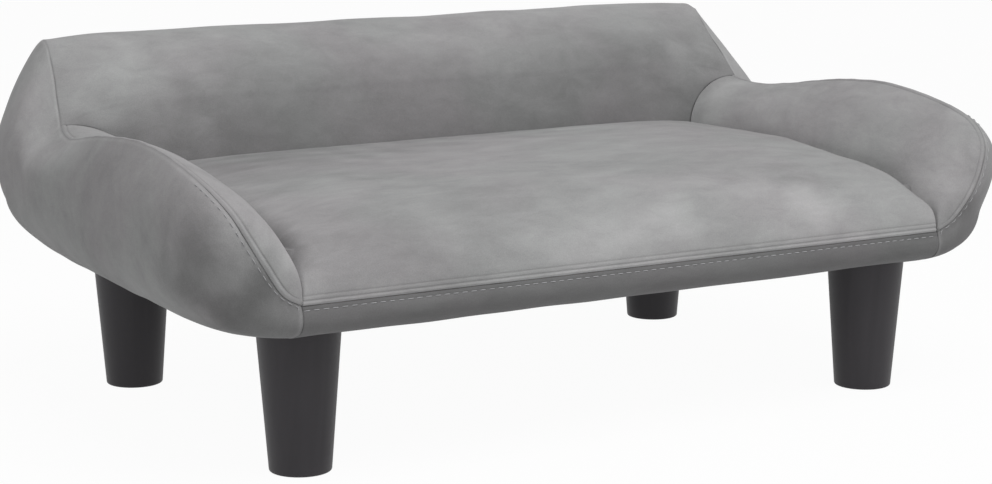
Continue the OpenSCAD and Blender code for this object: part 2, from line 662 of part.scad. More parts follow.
// Foam, which follows the inner faces of the cloth
under_cloth = cover_t + soft_gap;
seat_inner = moved(seat_grid, seat_normals, -under_cloth);
band_inner = moved(band_grid, band_normals, -under_cloth);
back_inner = moved(back_grid, back_normals, -under_cloth);
arm_inner = moved(arm_grid, arm_normals, -under_cloth);
side_inner = moved(side_grid, side_normals, -under_cloth);
core_steps = 8;
core_x = split_x - soft_gap;
function core_place(k) = core_x * sin(90 * (2 * k / core_steps - 1));

// Seat foam: rolled over the front of the frame and lying on the deck
front_rows = 4;
seat_core = concat(
    [for (k = [front_rows:-1:1]) [for (i = [0:core_steps]) across(band_inner[k], core_place(i))]],
    [for (row = seat_inner) [for (i = [0:core_steps]) across(row, core_place(i))]]);
seat_rise_rows = 8;
seat_under = [for (k = [0:len(seat_core) - 1]) [for (i = [0:core_steps])
    let (rear = seat_core[len(seat_core) - 1][i].y,
         s = max(0, k - seat_rise_rows) / (len(seat_core) - 1 - seat_rise_rows))
    [core_place(i), lerp(frame_front - soft_gap, rear, s),
     lerp(hem_top, deck_top + soft_gap, min(1, k / seat_rise_rows))]]];
module seat_foam() color(foam) between(seat_core, seat_under, core_steps / 2);

// Back foam: over the panel, the braces and the top rail, and down behind the back board
back_core = [for (row = back_inner) [for (i = [0:core_steps]) across(row, core_place(i))]];
back_under_places = [
    [frame_rear - brace_foot - panel_reach - soft_gap, deck_top + soft_gap],
    [frame_rear - brace_head - panel_reach - soft_gap, back_board_top + soft_gap],
    [back_board_rear + soft_gap, back_board_top + soft_gap],
    [back_board_rear + soft_gap, hem_top]];
back_top_row = 9;
back_rear_row = 11;
back_last_row = len(back_core) - 1;
function back_under_point(k) =
    k <= back_top_row ? lerp(back_under_places[0], back_under_places[1], (k - 1) / (back_top_row - 1))
    : k <= back_rear_row ? lerp(back_under_places[1], back_under_places[2],
        (k - back_top_row) / (back_rear_row - back_top_row))
    : lerp(back_under_places[2], back_under_places[3], (k - back_rear_row) / (back_last_row - back_rear_row));
back_under = [for (k = [0:back_last_row]) [for (i = [0:core_steps])
    k == 0 ? [core_place(i), back_core[0][i].y, deck_top + soft_gap]
    : [core_place(i), back_under_point(k).x, back_under_point(k).y]]];
module back_foam() color(foam) between(back_core, back_under, core_steps / 2);

// Arm foam: the whole end, from the flat of the side panel over the seam to the joint with the seat foam
back_first = arm_steps + 1;
loop_count = len(end_loop);
end_count = arm_count + 1;
rear_count = end_count + 3 + len(rear_rows);
hem_count = rear_count + len(hem_rows);
function beside_normal(i) =
    i == 0 ? band_normals[0][width_steps]
    : i < end_count ? arm_normals[i][0]
    : i < rear_count ? back_normals[back_first + i - end_count][width_steps]
    : i < hem_count ? [0, 0, -1]
    : band_normals[loop_count - i][width_steps];
function split_point(i) =
    i == arm_count ? crease_split
    : i < end_count ? across(seat_inner[i], split_x)
    : i < rear_count ? across(back_inner[back_first + i - end_count], split_x)
    : i < hem_count ? [split_x, end_loop[i].y, hem_top]
    : across(band_inner[loop_count - i], split_x);
function mitred(p, n1, n2, distance) = p - distance * (n1 + n2) / (1 + n1 * n2);
seam_inner = [for (i = [0:loop_count - 1])
    mitred(side_grid[i][0], side_normals[i][0], beside_normal(i), under_cloth)];
crease_inner = mitred(across(seat_grid[arm_count], split_x), seat_normals[arm_count][width_steps],
                      back_normals[0][width_steps], under_cloth);
crease_split = [split_x, crease_inner.y, crease_inner.z];
function foot_inner(i) =
    let (behind = i == arm_count ? back_normals[0][width_steps] : [0, 0, 0])
    mitred(arm_grid[i][arm_steps], arm_normals[i][arm_steps], seat_normals[i][width_steps] + behind,
           under_cloth);
function arch_inner(k) = mitred(arm_grid[arm_count][k], arm_normals[arm_count][k],
                                back_normals[arm_steps - k][width_steps], under_cloth);
corner_step_share = 0.1;
function inward_point(i, k) =
    i == 0 ? lerp(seam_inner[0], split_point(0), k > arm_steps ? 1 : corner_step_share * k / arm_steps)
    : i >= end_count ? lerp(seam_inner[i], split_point(i), k / (arm_steps + 1))
    : k > arm_steps ? split_point(i)
    : k == arm_steps ? foot_inner(i)
    : i == arm_count ? arch_inner(k)
    : arm_inner[i][k];
arm_core = concat(
    [[for (row = side_grid) row[side_steps] - [under_cloth, 0, 0]]],
    [for (k = [side_steps - 1:-1:1]) [for (row = side_inner) row[k]]],
    [seam_inner],
    [for (k = [1:arm_steps + 1]) [for (i = [0:loop_count - 1]) inward_point(i, k)]]);

// Room for the frame in the arm foam: its outline from the side, the wedge of a side rail and the arm board
frame_outline = [
    [frame_front - soft_gap, leg_h], [back_board_rear + soft_gap, leg_h],
    [back_board_rear + soft_gap, back_board_top + soft_gap],
    [frame_rear - soft_gap, back_board_top + soft_gap], [frame_rear - soft_gap, deck_top + soft_gap],
    [frame_front - soft_gap, deck_top + soft_gap]];
module arm_foam(side) color(foam) on_side(side) difference() {
    through_rings(arm_core, [split_x, (back_front_y + half_d) / 2, rail_top], len(arm_core));
    translate([split_x - overrun, 0, 0]) rotate([90, 0, 90])
        linear_extrude(foam_split - side_pad + soft_gap + overrun) polygon(frame_outline);
    translate([0, frame_rear, 0]) rotate([90, 0, 0])
        linear_extrude(frame_rear - frame_front) rail_section(side_rail_x, soft_gap);
    arm_slab(soft_gap);
}

// Leg: a turned cone with rounded edges, bored for its bolt
function arc_points(c, r, from, to, n) =
    [for (k = [0:n]) let (a = lerp(from, to, k / n)) c + r * [cos(a), sin(a)]];
edge_steps = 5;
leg_profile = concat(
    [[0, 0]],
    arc_points([foot_r - foot_round, foot_round], foot_round, -90, 0, edge_steps),
    arc_points([leg_top_r - head_round, leg_top - head_round], head_round, 0, 90, edge_steps),
    [[0, leg_top]]);
module leg(x, y) color(leg_black) translate([x, y, 0]) difference() {
    rotate_extrude($fn = round_fn) polygon(leg_profile);
    translate([0, 0, leg_top - bolt_in_leg - fit_gap])
        cylinder(r = bolt_r + fit_gap, h = bolt_in_leg + fit_gap + overrun, $fn = hole_fn);
}

module leg_bolt(x, y) color(steel) translate([x, y, leg_top - bolt_in_leg])
    rotate_extrude($fn = hole_fn) polygon([
        [0, 0], [bolt_r - bolt_tip, 0], [bolt_r, bolt_tip], [bolt_r, bolt_l - bolt_tip],
        [bolt_r - bolt_tip, bolt_l], [0, bolt_l]]);

base_board();
front_rail();
rear_rail();
side_rail(left);  // side_rail_left
side_rail(right);  // side_rail_right
corner_blocks();
seat_deck();
arm_board(left);  // arm_board_left
arm_board(right);  // arm_board_right
back_board();
back_braces();
back_top_rail();
back_panel();
frame_screws();
tee_nuts();
dust_cover();
seat_foam();
back_foam();
arm_foam(left);  // arm_foam_left
arm_foam(right);  // arm_foam_right
seat_cover();
front_band();
back_cover();
arm_inner_cover(left);  // arm_inner_cover_left
arm_inner_cover(right);  // arm_inner_cover_right
side_cover(left);  // side_cover_left
side_cover(right);  // side_cover_right
leg(-leg_x, leg_front_y);  // leg_front_left
leg(leg_x, leg_front_y);  // leg_front_right
leg(-leg_x, leg_rear_y);  // leg_rear_left
leg(leg_x, leg_rear_y);  // leg_rear_right
leg_bolt(-leg_x, leg_front_y);  // leg_bolt_front_left
leg_bolt(leg_x, leg_front_y);  // leg_bolt_front_right
leg_bolt(-leg_x, leg_rear_y);  // leg_bolt_rear_left
leg_bolt(leg_x, leg_rear_y);  // leg_bolt_rear_right
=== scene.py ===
import math

import bpy
import numpy as np
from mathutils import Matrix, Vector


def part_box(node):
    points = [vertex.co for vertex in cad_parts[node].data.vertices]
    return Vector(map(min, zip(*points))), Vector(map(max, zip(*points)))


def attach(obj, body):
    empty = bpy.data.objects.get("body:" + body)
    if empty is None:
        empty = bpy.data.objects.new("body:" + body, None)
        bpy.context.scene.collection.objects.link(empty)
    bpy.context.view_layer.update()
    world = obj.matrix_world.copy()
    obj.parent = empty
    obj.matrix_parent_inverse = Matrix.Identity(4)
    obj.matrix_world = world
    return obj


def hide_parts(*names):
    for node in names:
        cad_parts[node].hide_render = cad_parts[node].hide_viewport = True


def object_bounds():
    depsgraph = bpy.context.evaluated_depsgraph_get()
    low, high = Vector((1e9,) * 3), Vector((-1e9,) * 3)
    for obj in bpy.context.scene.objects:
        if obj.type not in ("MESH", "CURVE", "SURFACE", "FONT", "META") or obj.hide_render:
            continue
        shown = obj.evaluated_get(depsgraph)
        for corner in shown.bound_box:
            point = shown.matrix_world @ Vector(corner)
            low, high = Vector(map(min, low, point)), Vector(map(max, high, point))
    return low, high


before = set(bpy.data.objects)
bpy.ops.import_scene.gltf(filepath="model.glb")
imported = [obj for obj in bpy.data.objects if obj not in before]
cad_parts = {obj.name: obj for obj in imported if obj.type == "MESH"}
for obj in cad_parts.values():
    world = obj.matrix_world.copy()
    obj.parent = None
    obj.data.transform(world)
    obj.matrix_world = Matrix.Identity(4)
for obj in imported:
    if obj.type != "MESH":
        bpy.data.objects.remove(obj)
CAD_BOX = [list(corner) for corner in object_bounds()]

# Looks of a low velvet sofa bed for a dog or a cat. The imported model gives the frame, the legs and the
# fasteners. The upholstery is made here: each panel is a surface stretched between seams, with rolled edges,
# seam relief, puckers and stitches. Lengths are in metres and shares follow the sizes of the body.

bl_info = {
    "name": "Velvet Pet Sofa",
    "version": (1, 0, 0),
    "blender": (4, 5, 0),
    "location": "3D View > Sidebar > Pet Sofa",
    "description": "Upholstery, finishes and studio of a low velvet sofa bed for pets",
    "category": "Object",
}

# Where seams meet, as shares of the arm's thickness, the back's thickness and the rise
JUNCTION_SHARES = (0.44, 0.813, 0.86)
BACK_CORNER_SHARES = (0.57, 0.465, 0.956)
# Rear end of the crease between the seat and an arm, as a share of the back's thickness
CREASE_END_SHARE = 0.936

# Arm seam: inward share of the arm, share of the way back, share of the rise, then how the end panel leaves
# there: share along its ridge, two shares of the leaving direction and one of its fullness.
ARM_SEAM_SHARES = np.array([
    [1.00, 0.016, 0.000, 0.00, 0.00, 0.52, 0.56],
    [0.79, 0.010, 0.095, 0.00, 0.00, 0.55, 0.60],
    [0.58, 0.000, 0.318, 0.00, 0.00, 0.60, 0.66],
    [0.44, 0.009, 0.503, 0.00, 0.00, 0.60, 0.68],
    [0.34, 0.031, 0.662, 0.00, 0.00, 0.55, 0.65],
    [0.26, 0.090, 0.800, 0.00, 0.05, 0.50, 0.62],
    [0.23, 0.182, 0.895, 0.00, 0.10, 0.45, 0.55],
    [0.23, 0.313, 0.968, 0.10, 0.20, 0.35, 0.55],
    [0.22, 0.447, 0.996, 0.27, 0.25, 0.30, 0.55],
    [0.19, 0.605, 0.958, 0.45, 0.25, 0.30, 0.55],
    [0.21, 0.710, 0.905, 0.57, 0.25, 0.30, 0.55],
    [0.25, 0.796, 0.854, 0.67, 0.25, 0.30, 0.55],
    [0.33, 0.888, 0.812, 0.78, 0.25, 0.30, 0.55],
    [0.39, 0.960, 0.824, 0.86, 0.25, 0.30, 0.55],
])
JUNCTION_LEAVING = (0.9, 0.25, 0.25, 0.55)
# Seam up the end of the backrest, as shares of the way from the junction to the back's corner
END_SEAM_SHARES = np.array([
    [0.38, 0.354, 0.372, 0.92, 0.15, 0.22, 0.50],
    [0.72, 0.623, 0.628, 0.94, 0.15, 0.20, 0.50],
    [1.00, 1.00, 1.00, 0.97, 0.15, 0.20, 0.38],
])
# Seam over the top and down the rear: inward share of the arm, share of the back's thickness, of its rise
REAR_SEAM_SHARES = np.array([
    [0.60, 0.369, 0.977, 1.00, 0.10, 0.24, 0.24],
    [0.63, 0.248, 0.949, 1.00, 0.05, 0.26, 0.24],
    [0.67, 0.117, 0.855, 1.00, 0.00, 0.36, 0.31],
    [0.70, 0.039, 0.744, 1.00, 0.00, 0.41, 0.41],
    [0.71, 0.000, 0.574, 1.00, 0.00, 0.54, 0.56],
    [0.72, 0.000, 0.261, 1.00, 0.00, 0.45, 0.43],
    [0.79, 0.021, 0.097, 1.00, 0.00, 0.34, 0.30],
    [0.91, 0.099, 0.006, 1.00, 0.00, 0.34, 0.32],
])
# Hem under the end: inward share of the arm, share of the half depth, ridge and leaving shares
HEM_SHARES = np.array([
    [1.04, 0.836, 1.00, 0.48, 0.47],
    [1.067, 0.533, 0.93, 0.62, 0.59],
    [1.067, 0.000, 0.52, 0.70, 0.68],
    [1.067, -0.533, 0.10, 0.74, 0.72],
    [1.01, -0.844, 0.00, 0.66, 0.66],
])
# Section of the front band: shares of its rise behind the seam and above the hem
BAND_SHARES = np.array([[0, 1], [-0.087, 0.68], [-0.02, 0.415], [0.245, 0.19], [0.8, 0.015], [1.3, 0]])
# Places on that section, from the hem up, at which the end panel meets it, and its leaving shares there
BAND_END_PLACES = np.array([3, 2, 1]) / (len(BAND_SHARES) - 1)
BAND_END_SHARES = np.array([[0.58, 0.58], [0.55, 0.55], [0.53, 0.55]])
# Ridge of the end panel, as shares of the half depth and the back's rise, and the extent of its flat middle
RIDGE_SHARES = np.array([[-0.711, 0.364], [0.6, 0.42]])
FLAT_SHARE = 0.12

# Crease between the seat and an arm: inward share of the arm, share of the way back, share of the rise
SEAT_EDGE_SHARES = np.array([
    [1.00, 0.017, 0.000], [1.007, 0.019, 0.193], [1.007, 0.035, 0.345], [1.007, 0.063, 0.471],
    [1.007, 0.110, 0.597], [1.007, 0.189, 0.697], [1.027, 0.299, 0.773], [1.067, 0.497, 0.849],
    [1.133, 0.708, 0.866], [1.24, 1.0, 0.85],
])
# Crown of the seat along its middle: share of the way back, share of the rise
SEAT_CROWN_SHARES = np.array([
    [0.018, 0.000], [0.018, 0.193], [0.032, 0.412], [0.062, 0.597], [0.110, 0.748],
    [0.185, 0.866], [0.291, 0.933], [0.511, 0.983], [0.728, 1.000], [1.000, 0.950],
])
# Share of the crease that each row of the arm seam is joined to
CREASE_PAIR_SHARES = np.array(
    [0, 0.1, 0.2, 0.3, 0.37, 0.45, 0.53, 0.62, 0.74, 0.83, 0.875, 0.91, 0.945, 0.975, 1])
# Directions in which the arm's inner panel leaves the seam and the crease, as shares of the arm
ARM_LEAN_SHARES = np.array([
    [-0.02, -0.01, 0.02], [-0.09, -0.03, 0.05], [-0.13, -0.03, 0.11], [-0.15, -0.01, 0.17],
    [-0.22, 0.03, 0.14], [-0.29, 0.03, 0.03], [-0.32, 0.00, -0.05], [-0.31, 0.00, -0.09],
    [-0.31, 0.00, -0.09], [-0.34, 0.00, -0.07], [-0.37, 0.00, -0.02], [-0.40, 0.00, 0.04],
    [-0.41, 0.00, 0.10], [-0.39, 0.01, 0.08], [-0.34, 0.00, 0.03],
])
ARM_RISE_SHARES = np.array([
    [-0.01, -0.01, 0.02], [0.01, -0.03, 0.10], [0.03, -0.04, 0.15], [0.08, -0.03, 0.20],
    [0.10, -0.01, 0.22], [0.11, 0.00, 0.24], [0.10, 0.00, 0.28], [0.10, 0.00, 0.31],
    [0.10, 0.00, 0.31], [0.10, 0.00, 0.32], [0.10, 0.00, 0.33], [0.10, 0.03, 0.33],
    [0.10, 0.07, 0.31], [0.10, 0.08, 0.31], [0.11, 0.11, 0.30],
])
# Middle of the backrest: shoulder, then shares of the back's thickness from the rear and of its rise
SHOULDER_SHARES = (0.844, 0.75)
BACK_PROFILE_SHARES = np.array([
    [0.759, 0.847], [0.582, 0.943], [0.426, 0.989],
    [0.27, 0.992], [0.135, 0.943], [0.05, 0.841], [0.011, 0.705],
    [0, 0.489], [0, 0.205], [0.011, 0.068], [0.085, 0.003],
])
CROWN_POWER, EDGE_POWER, BACK_POWER, CROWN_SHARE = 2, 9, 7, 0.4
# Spans of rows that one step of the backrest's middle takes up to the shoulder, and up to the corner
ARCH_SPAN, END_SPAN = 6, 3
# Beside a seam: widths of the painted shade in its hollow and of a crease line, reach of the puckers, and the
# strip that lies calm
GROOVE_WIDTH, LINE_WIDTH, PUCKER_REACH, CALM_REACH = 0.0008, 0.0006, 0.010, 0.03
# Heights and lengths of the waves in which a panel undulates
UNDULATIONS = ((0.0006, 0.12), (0.0002, 0.05))
# Frames of the cloth simulation, and columns by which a panel runs on behind its neighbour
CLOTH_FRAMES, TUCK_COLUMNS = 20, 4
SIDES = (("left", -1), ("right", 1))


# ---------------------------------------------------------------- sizes and colours

def length(name, text, value):
    """A length in metres that a user can change."""
    return bpy.props.FloatProperty(name=name, description=text, default=value, min=0, unit="LENGTH", precision=4)


def shade(name, text, value):
    """A colour that a user can change."""
    return bpy.props.FloatVectorProperty(name=name, description=text, default=value, size=3, min=0, max=1,
                                         subtype="COLOR")


def number(name, text, value):
    """A plain factor that a user can change."""
    return bpy.props.FloatProperty(name=name, description=text, default=value, min=0)


class SofaSizes(bpy.types.PropertyGroup):
    """Sizes of the body, its seams and its padding"""
    body_width: length("Body width", "Width over the two arms", CAD_BOX[1][0] - CAD_BOX[0][0])
    body_depth: length("Body depth", "Depth from the front of the arms to the back", 0.45)
    underside: length("Underside", "Height of the body's underside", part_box("dust_cover")[0].z)
    back_rise: length("Back rise", "Rise of the backrest above the underside", 0.176)
    arm_rise: length("Arm rise", "Rise of the arm tops above the underside", 0.126)
    seat_rise: length("Seat rise", "Rise of the seat crown above the underside", 0.086)
    band_rise: length("Band rise", "Rise of the front seam above the underside", 0.0265)
    arm_width: length("Arm width", "Thickness of an arm", 0.075)
    back_thickness: length("Back thickness", "Thickness of the backrest at the seat", 0.141)
    seam_roll: length("Seam roll", "Radius of a panel's rolled edge at a sewn seam", 0.0006)
    crease_roll: length("Crease roll", "Radius of the seat's edge where it presses on an arm", 0.0080)
    side_dip: length("Side dip", "Depth to which the seat's edge is pulled down beside an arm's front", 0.008)
    rear_roll: length("Rear roll", "Radius of the seat's edge where it presses on the backrest", 0.0045)
    arch_roll: length("Arch roll", "Radius of an arm's edge where it presses on the backrest", 0.0008)
    tuck: length("Tuck", "Depth to which a panel is tucked in behind its neighbour", 0.012)
    pad_thickness: length("Pad thickness", "Depth of padding kept behind a panel", 0.008)
    cover_grid: length("Cover grid", "Spacing of the net on which the covers are blown out", 0.008)
    swell_limit: length("Swell limit", "Furthest that padding may push a cover", 0.0025)
    welt_width: length("Welt width", "From an arm's seam to the topstitch beside it", 0.0045)
    welt_rise: length("Welt rise", "Height of the welt between seam and topstitch", 0.0006)
    stitch_place: length("Stitch place", "From a seam to the row of stitches beside it", 0.0032)
    stitch_length: length("Stitch length", "Length of one stitch", 0.0048)
    stitch_pitch: length("Stitch pitch", "From one stitch to the next", 0.0072)
    thread_radius: length("Thread radius", "Radius of the thread", 0.00033)
    pucker_rise: length("Pucker rise", "Height of the puckers beside a seam", 0.00030)
    pucker_pitch: length("Pucker pitch", "Spacing of the puckers along a seam", 0.009)
    cover_pressure: number("Cover pressure", "Pressure of the padding on the covers", 4.0)
    cover_stiffness: number("Cover stiffness", "Stiffness of the covers against stretch", 60.0)
    cover_slack: number("Cover slack", "Share by which a cover is cut larger than its place", 0.001)


class SofaColours(bpy.types.PropertyGroup):
    """Colours of the finishes, and tones of the velvet panels, which paint light and shade on each panel"""
    velvet: shade("Velvet", "Grey of the pile", (0.335, 0.332, 0.334))
    velvet_deep: shade("Velvet deep", "Pile that lies away from the light", (0.262, 0.260, 0.261))
    velvet_pale: shade("Velvet pale", "Pile that is brushed toward the light", (0.412, 0.409, 0.411))
    thread: shade("Thread", "Pale thread of the stitches", (0.46, 0.46, 0.47))
    # Panel tones are painted light and shade: the backrest and the downward-facing band are painted darker, the
    # arms and the ends a little paler
    back_painted_shade: number("Back tone", "Tone of the backrest, whose pile lies away from the light", 0.84)
    arm_painted_light: number("Arm tone", "Tone of the arms' inner panels", 1.03)
    end_painted_light: number("End tone", "Tone of the end panels, whose pile lies downward", 1.06)
    band_painted_shade: number("Band tone", "Tone of the front band, whose pile lies downward", 0.53)
    legs: shade("Legs", "Near-black lacquer of the legs", (0.034, 0.031, 0.035))
    plywood: shade("Plywood", "Light plywood of the frame", (0.62, 0.46, 0.28))
    hardboard: shade("Hardboard", "Brown hardboard behind the back foam", (0.28, 0.17, 0.09))
    steel: shade("Zinc steel", "Bright zinc of screws, nuts and bolts", (0.62, 0.63, 0.65))
    dust_cloth: shade("Dust cloth", "Black cloth under the frame", (0.018, 0.018, 0.020))


class SofaStudio(bpy.types.PropertyGroup):
    """Camera, lamps and surroundings"""
    camera_place: bpy.props.FloatVectorProperty(
        name="Camera place", description="Place of the camera", size=3, subtype="TRANSLATION",
        default=(-1.0152192, -1.7358812, 0.4903075))
    camera_turn: bpy.props.FloatProperty(
        name="Camera turn", description="Turn of the camera from straight ahead", subtype="ANGLE",
        default=math.radians(30.452))
    camera_dip: bpy.props.FloatProperty(
        name="Camera dip", description="Dip of the camera below the horizon", subtype="ANGLE",
        default=math.radians(10.626))
    camera_lens: number("Camera lens", "Focal length in millimetres on a sensor 36 wide", 92.845)
    key_power: number("Key power", "Power of the large lamp overhead", 29.0)
    fill_power: number("Fill power", "Power of the lamp at the front", 3.5)
    sky_strength: number("Sky strength", "Level of the even light from all round", 0.42)
    floor_white: number("Floor white", "Share of plain white in what the camera sees of the floor", 0.96)


# ---------------------------------------------------------------- curves and surfaces

def lerp(a, b, t):
    """a + (b - a) t"""
    return a + (b - a) * t


def smoothstep(t):
    """3 t^2 - 2 t^3"""
    return t * t * (3 - 2 * t)


def unit(vectors):
    """Vectors over their own lengths"""
    return vectors / np.maximum(np.linalg.norm(vectors, axis=-1, keepdims=True), 1e-12)


def bezier(a, b, c, d, t):
    """Cubic Bezier curve with the ends a and d and the handles b and c"""
    return (1 - t) ** 3 * a + 3 * t * (1 - t) ** 2 * b + 3 * t * t * (1 - t) * c + t ** 3 * d


def curve_at(rows, t):
    """Catmull-Rom curve through rows at shares t: half of 2b + (c-a)r + (2a-5b+4c-d)r^2 + (3b-a-3c+d)r^3
    between the rows b and c, with straight ends."""
    steps = len(rows) - 1
    place = np.clip(t, 0, 1) * steps
    i = np.minimum(place.astype(int), steps - 1)
    r = (place - i)[:, None]
    held = np.vstack([2 * rows[0] - rows[1], rows, 2 * rows[-1] - rows[-2]])
    a, b, c, d = (held[i + k] for k in range(4))
    return (2 * b + (c - a) * r + (2 * a - 5 * b + 4 * c - d) * r ** 2 + (3 * b - a - 3 * c + d) * r ** 3) / 2


def crowded(count, start, end):
    """Shares 0 to 1 that lie closer together at the start or the end: the integral of 1 minus start times
    (1-q)^6 minus end times q^6, scaled to end at 1."""
    q = np.linspace(0, 1, count)
    run = q - start * (1 - (1 - q) ** 7) / 7 - end * q ** 7 / 7
    return run / run[-1]


def normals_of(grid, side, ring=False):
    """Unit normals: the cross product of the steps along the two directions, times side."""
    if ring:
        along = (np.roll(grid, -1, 0) - np.roll(grid, 1, 0)) / 2
    else:
        along = np.gradient(grid, axis=0)
    return unit(side * np.cross(along, np.gradient(grid, axis=1)))


def run_along(path):
    """Distance of each point of a path from its first"""
    return np.concatenate([[0], np.cumsum(np.linalg.norm(np.diff(path, axis=0), axis=1))])


def run_across(grid):
    """Distance of each point from the first column, along its row"""
    steps = np.linalg.norm(np.diff(grid, axis=1), axis=2)
    return np.hstack([np.zeros((len(grid), 1)), np.cumsum(steps, axis=1)])


def edge_runs(grid):
    """Distances of each point from the first and last column and from the first and last row"""
    across = run_across(grid)
    along = run_across(grid.transpose(1, 0, 2)).T
    return across, across[:, -1:] - across, along, along[-1:] - along


def roll(distance, radius):
    """Depth of a rolled edge: radius minus the height of a quarter circle at that distance from the edge"""
    inside = np.clip(1 - distance / radius, 0, 1)
    return radius * (1 - np.sqrt(1 - inside ** 2))


def bump_at(distance, centre, width):
    """Bell curve: e to the minus square of the distance from centre over width"""
    return np.exp(-((distance - centre) / width) ** 2)


def wander(place, pitch, seed):
    """Smooth seeded noise from -1 to 1 along a line: random knots a pitch apart, joined by smoothsteps"""
    count = 4096
    knots = np.random.default_rng(seed).uniform(-1, 1, count)
    f = np.abs(place) / pitch + 1
    i = f.astype(int) % (count - 1)
    return lerp(knots[i], knots[i + 1], smoothstep(f - np.floor(f)))


def undulate(points, pitch, seed):
    """Smooth seeded noise in space: the mean of six sine waves of that length in random directions"""
    rng = np.random.default_rng(seed)
    ways = unit(rng.normal(size=(6, 3)))
    phases = rng.uniform(0, 2 * np.pi, 6)
    spread = rng.uniform(0.7, 1.4, 6)
    return np.sin(points @ ways.T * (2 * np.pi / pitch) * spread + phases).mean(axis=-1) * 1.6


class Body:
    """Seams and panels of the right half of the body, worked out from its sizes"""

    def __init__(self, s):
        self.s = s
        self.half_w, self.half_d = s.body_width / 2, s.body_depth / 2
        self.seam_z = s.underside + s.band_rise
        self.seat_z = s.underside + s.seat_rise
        self.arm_z = s.underside + s.arm_rise
        self.seat_half_w = self.half_w - s.arm_width
        self.back_front_y = self.half_d - s.back_thickness
        self.junction = np.array([self.half_w - JUNCTION_SHARES[0] * s.arm_width,
                                  self.half_d - JUNCTION_SHARES[1] * s.back_thickness,
                                  lerp(self.seam_z, self.arm_z, JUNCTION_SHARES[2])])
        self.back_corner = np.array([self.half_w - BACK_CORNER_SHARES[0] * s.arm_width,
                                     self.half_d - BACK_CORNER_SHARES[1] * s.back_thickness,
                                     s.underside + BACK_CORNER_SHARES[2] * s.back_rise])
        self.crease_y = self.half_d - CREASE_END_SHARE * s.back_thickness
        self.front_y = -self.half_d + ARM_SEAM_SHARES[0, 1] * (self.junction[1] + self.half_d)
        self.make_rows()

    def make_rows(self):
        """Rows of every seam: places in metres, then the leaving shares of the end panel"""
        s = self.s
        a = ARM_SEAM_SHARES
        arm = np.column_stack([self.half_w - a[:, 0] * s.arm_width,
                               lerp(-self.half_d, self.junction[1], a[:, 1]),
                               lerp(self.seam_z, self.arm_z, a[:, 2]), a[:, 3:]])
        self.arm_rows = np.vstack([arm, np.concatenate([self.junction, JUNCTION_LEAVING])])
        e = END_SEAM_SHARES
        end = np.column_stack([lerp(self.junction, self.back_corner, e[:, :3]), e[:, 3:]])
        self.end_rows = np.vstack([self.arm_rows[-1], end])
        r = REAR_SEAM_SHARES
        rear = np.column_stack([self.half_w - r[:, 0] * s.arm_width, self.half_d - r[:, 1] * s.back_thickness,
                                s.underside + r[:, 2] * s.back_rise, r[:, 3:]])
        h = HEM_SHARES
        zero = np.zeros(len(h))
        hem = np.column_stack([self.half_w - h[:, 0] * s.arm_width, h[:, 1] * self.half_d,
                               zero + s.underside, h[:, 2], zero, h[:, 3:]])
        zero = 0 * BAND_END_PLACES
        band_end = np.column_stack([zero + self.seat_half_w, self.band_profile(BAND_END_PLACES), zero, zero,
                                    BAND_END_SHARES])
        self.rear_rows = np.vstack([self.end_rows[-1], rear, hem, band_end, self.arm_rows[0]])
        self.rear_count = len(rear)
        c = SEAT_EDGE_SHARES
        self.crease_rows = np.column_stack([self.half_w - c[:, 0] * s.arm_width,
                                            lerp(-self.half_d, self.crease_y, c[:, 1]),
                                            lerp(self.seam_z, self.seat_z, c[:, 2])])

    def band_profile(self, t):
        """Section of the front band: its shares carried to y and z"""
        k = curve_at(BAND_SHARES, t)
        return np.column_stack([self.front_y + k[:, 0] * self.s.band_rise,
                                self.s.underside + k[:, 1] * self.s.band_rise])

    def ridge(self, t):
        """Point at share t of the ridge of the end panel"""
        yz = lerp(RIDGE_SHARES[0], RIDGE_SHARES[1], t[..., None])
        return np.stack([self.half_w + 0 * t, yz[..., 0] * self.half_d,
                         self.s.underside + yz[..., 1] * self.s.back_rise], axis=-1)

    def loop(self, counts):
        """Rows round the end panel: arm seam, end seam, then rear, hem and band, each a smooth curve"""
        parts = [curve_at(rows, np.linspace(0, 1, count + 1)[:-1])
                 for rows, count in zip((self.arm_rows, self.end_rows, self.rear_rows), counts)]
        return np.vstack(parts)

    def end_panel(self, rows, t):
        """Swell from a seam point to the flat middle: x follows bezier(0, v, 1, 1) and y and z follow
        bezier(0, u, 1-w, 1) at share t, with u, v and w from the row."""
        seam, ridge = rows[:, None, :3], self.ridge(rows[:, 3])[:, None]
        inner = lerp(ridge, seam, FLAT_SHARE)
        along = bezier(0, rows[:, 4:5], 1 - rows[:, 6:7], 1, t[None])[..., None]
        out = bezier(0, rows[:, 5:6], 1, 1, t[None])
        grid = lerp(seam, inner, along)
        grid[..., 0] = lerp(seam[..., 0], self.half_w, out)
        return grid

    def arm_panel(self, place, t):
        """Bezier rows from the arm seam to the crease, whose handles lean in and rise, at shares place"""
        seam = curve_at(self.arm_rows, place)[:, None, :3]
        pair = curve_at(CREASE_PAIR_SHARES[:, None], place)[:, 0]
        foot = curve_at(self.crease_rows, pair)[:, None]
        lean = curve_at(ARM_LEAN_SHARES, place)[:, None] * self.s.arm_width
        rise = curve_at(ARM_RISE_SHARES, place)[:, None] * self.s.arm_width
        return bezier(seam, seam + lean, foot + rise, foot, t[None, :, None])

    def seat_middle(self, t):
        """Crown of the seat along its middle: y and z"""
        k = curve_at(SEAT_CROWN_SHARES, t)
        return np.column_stack([lerp(-self.half_d, self.back_front_y, k[:, 0]),
                                lerp(self.seam_z, self.seat_z, k[:, 1])])

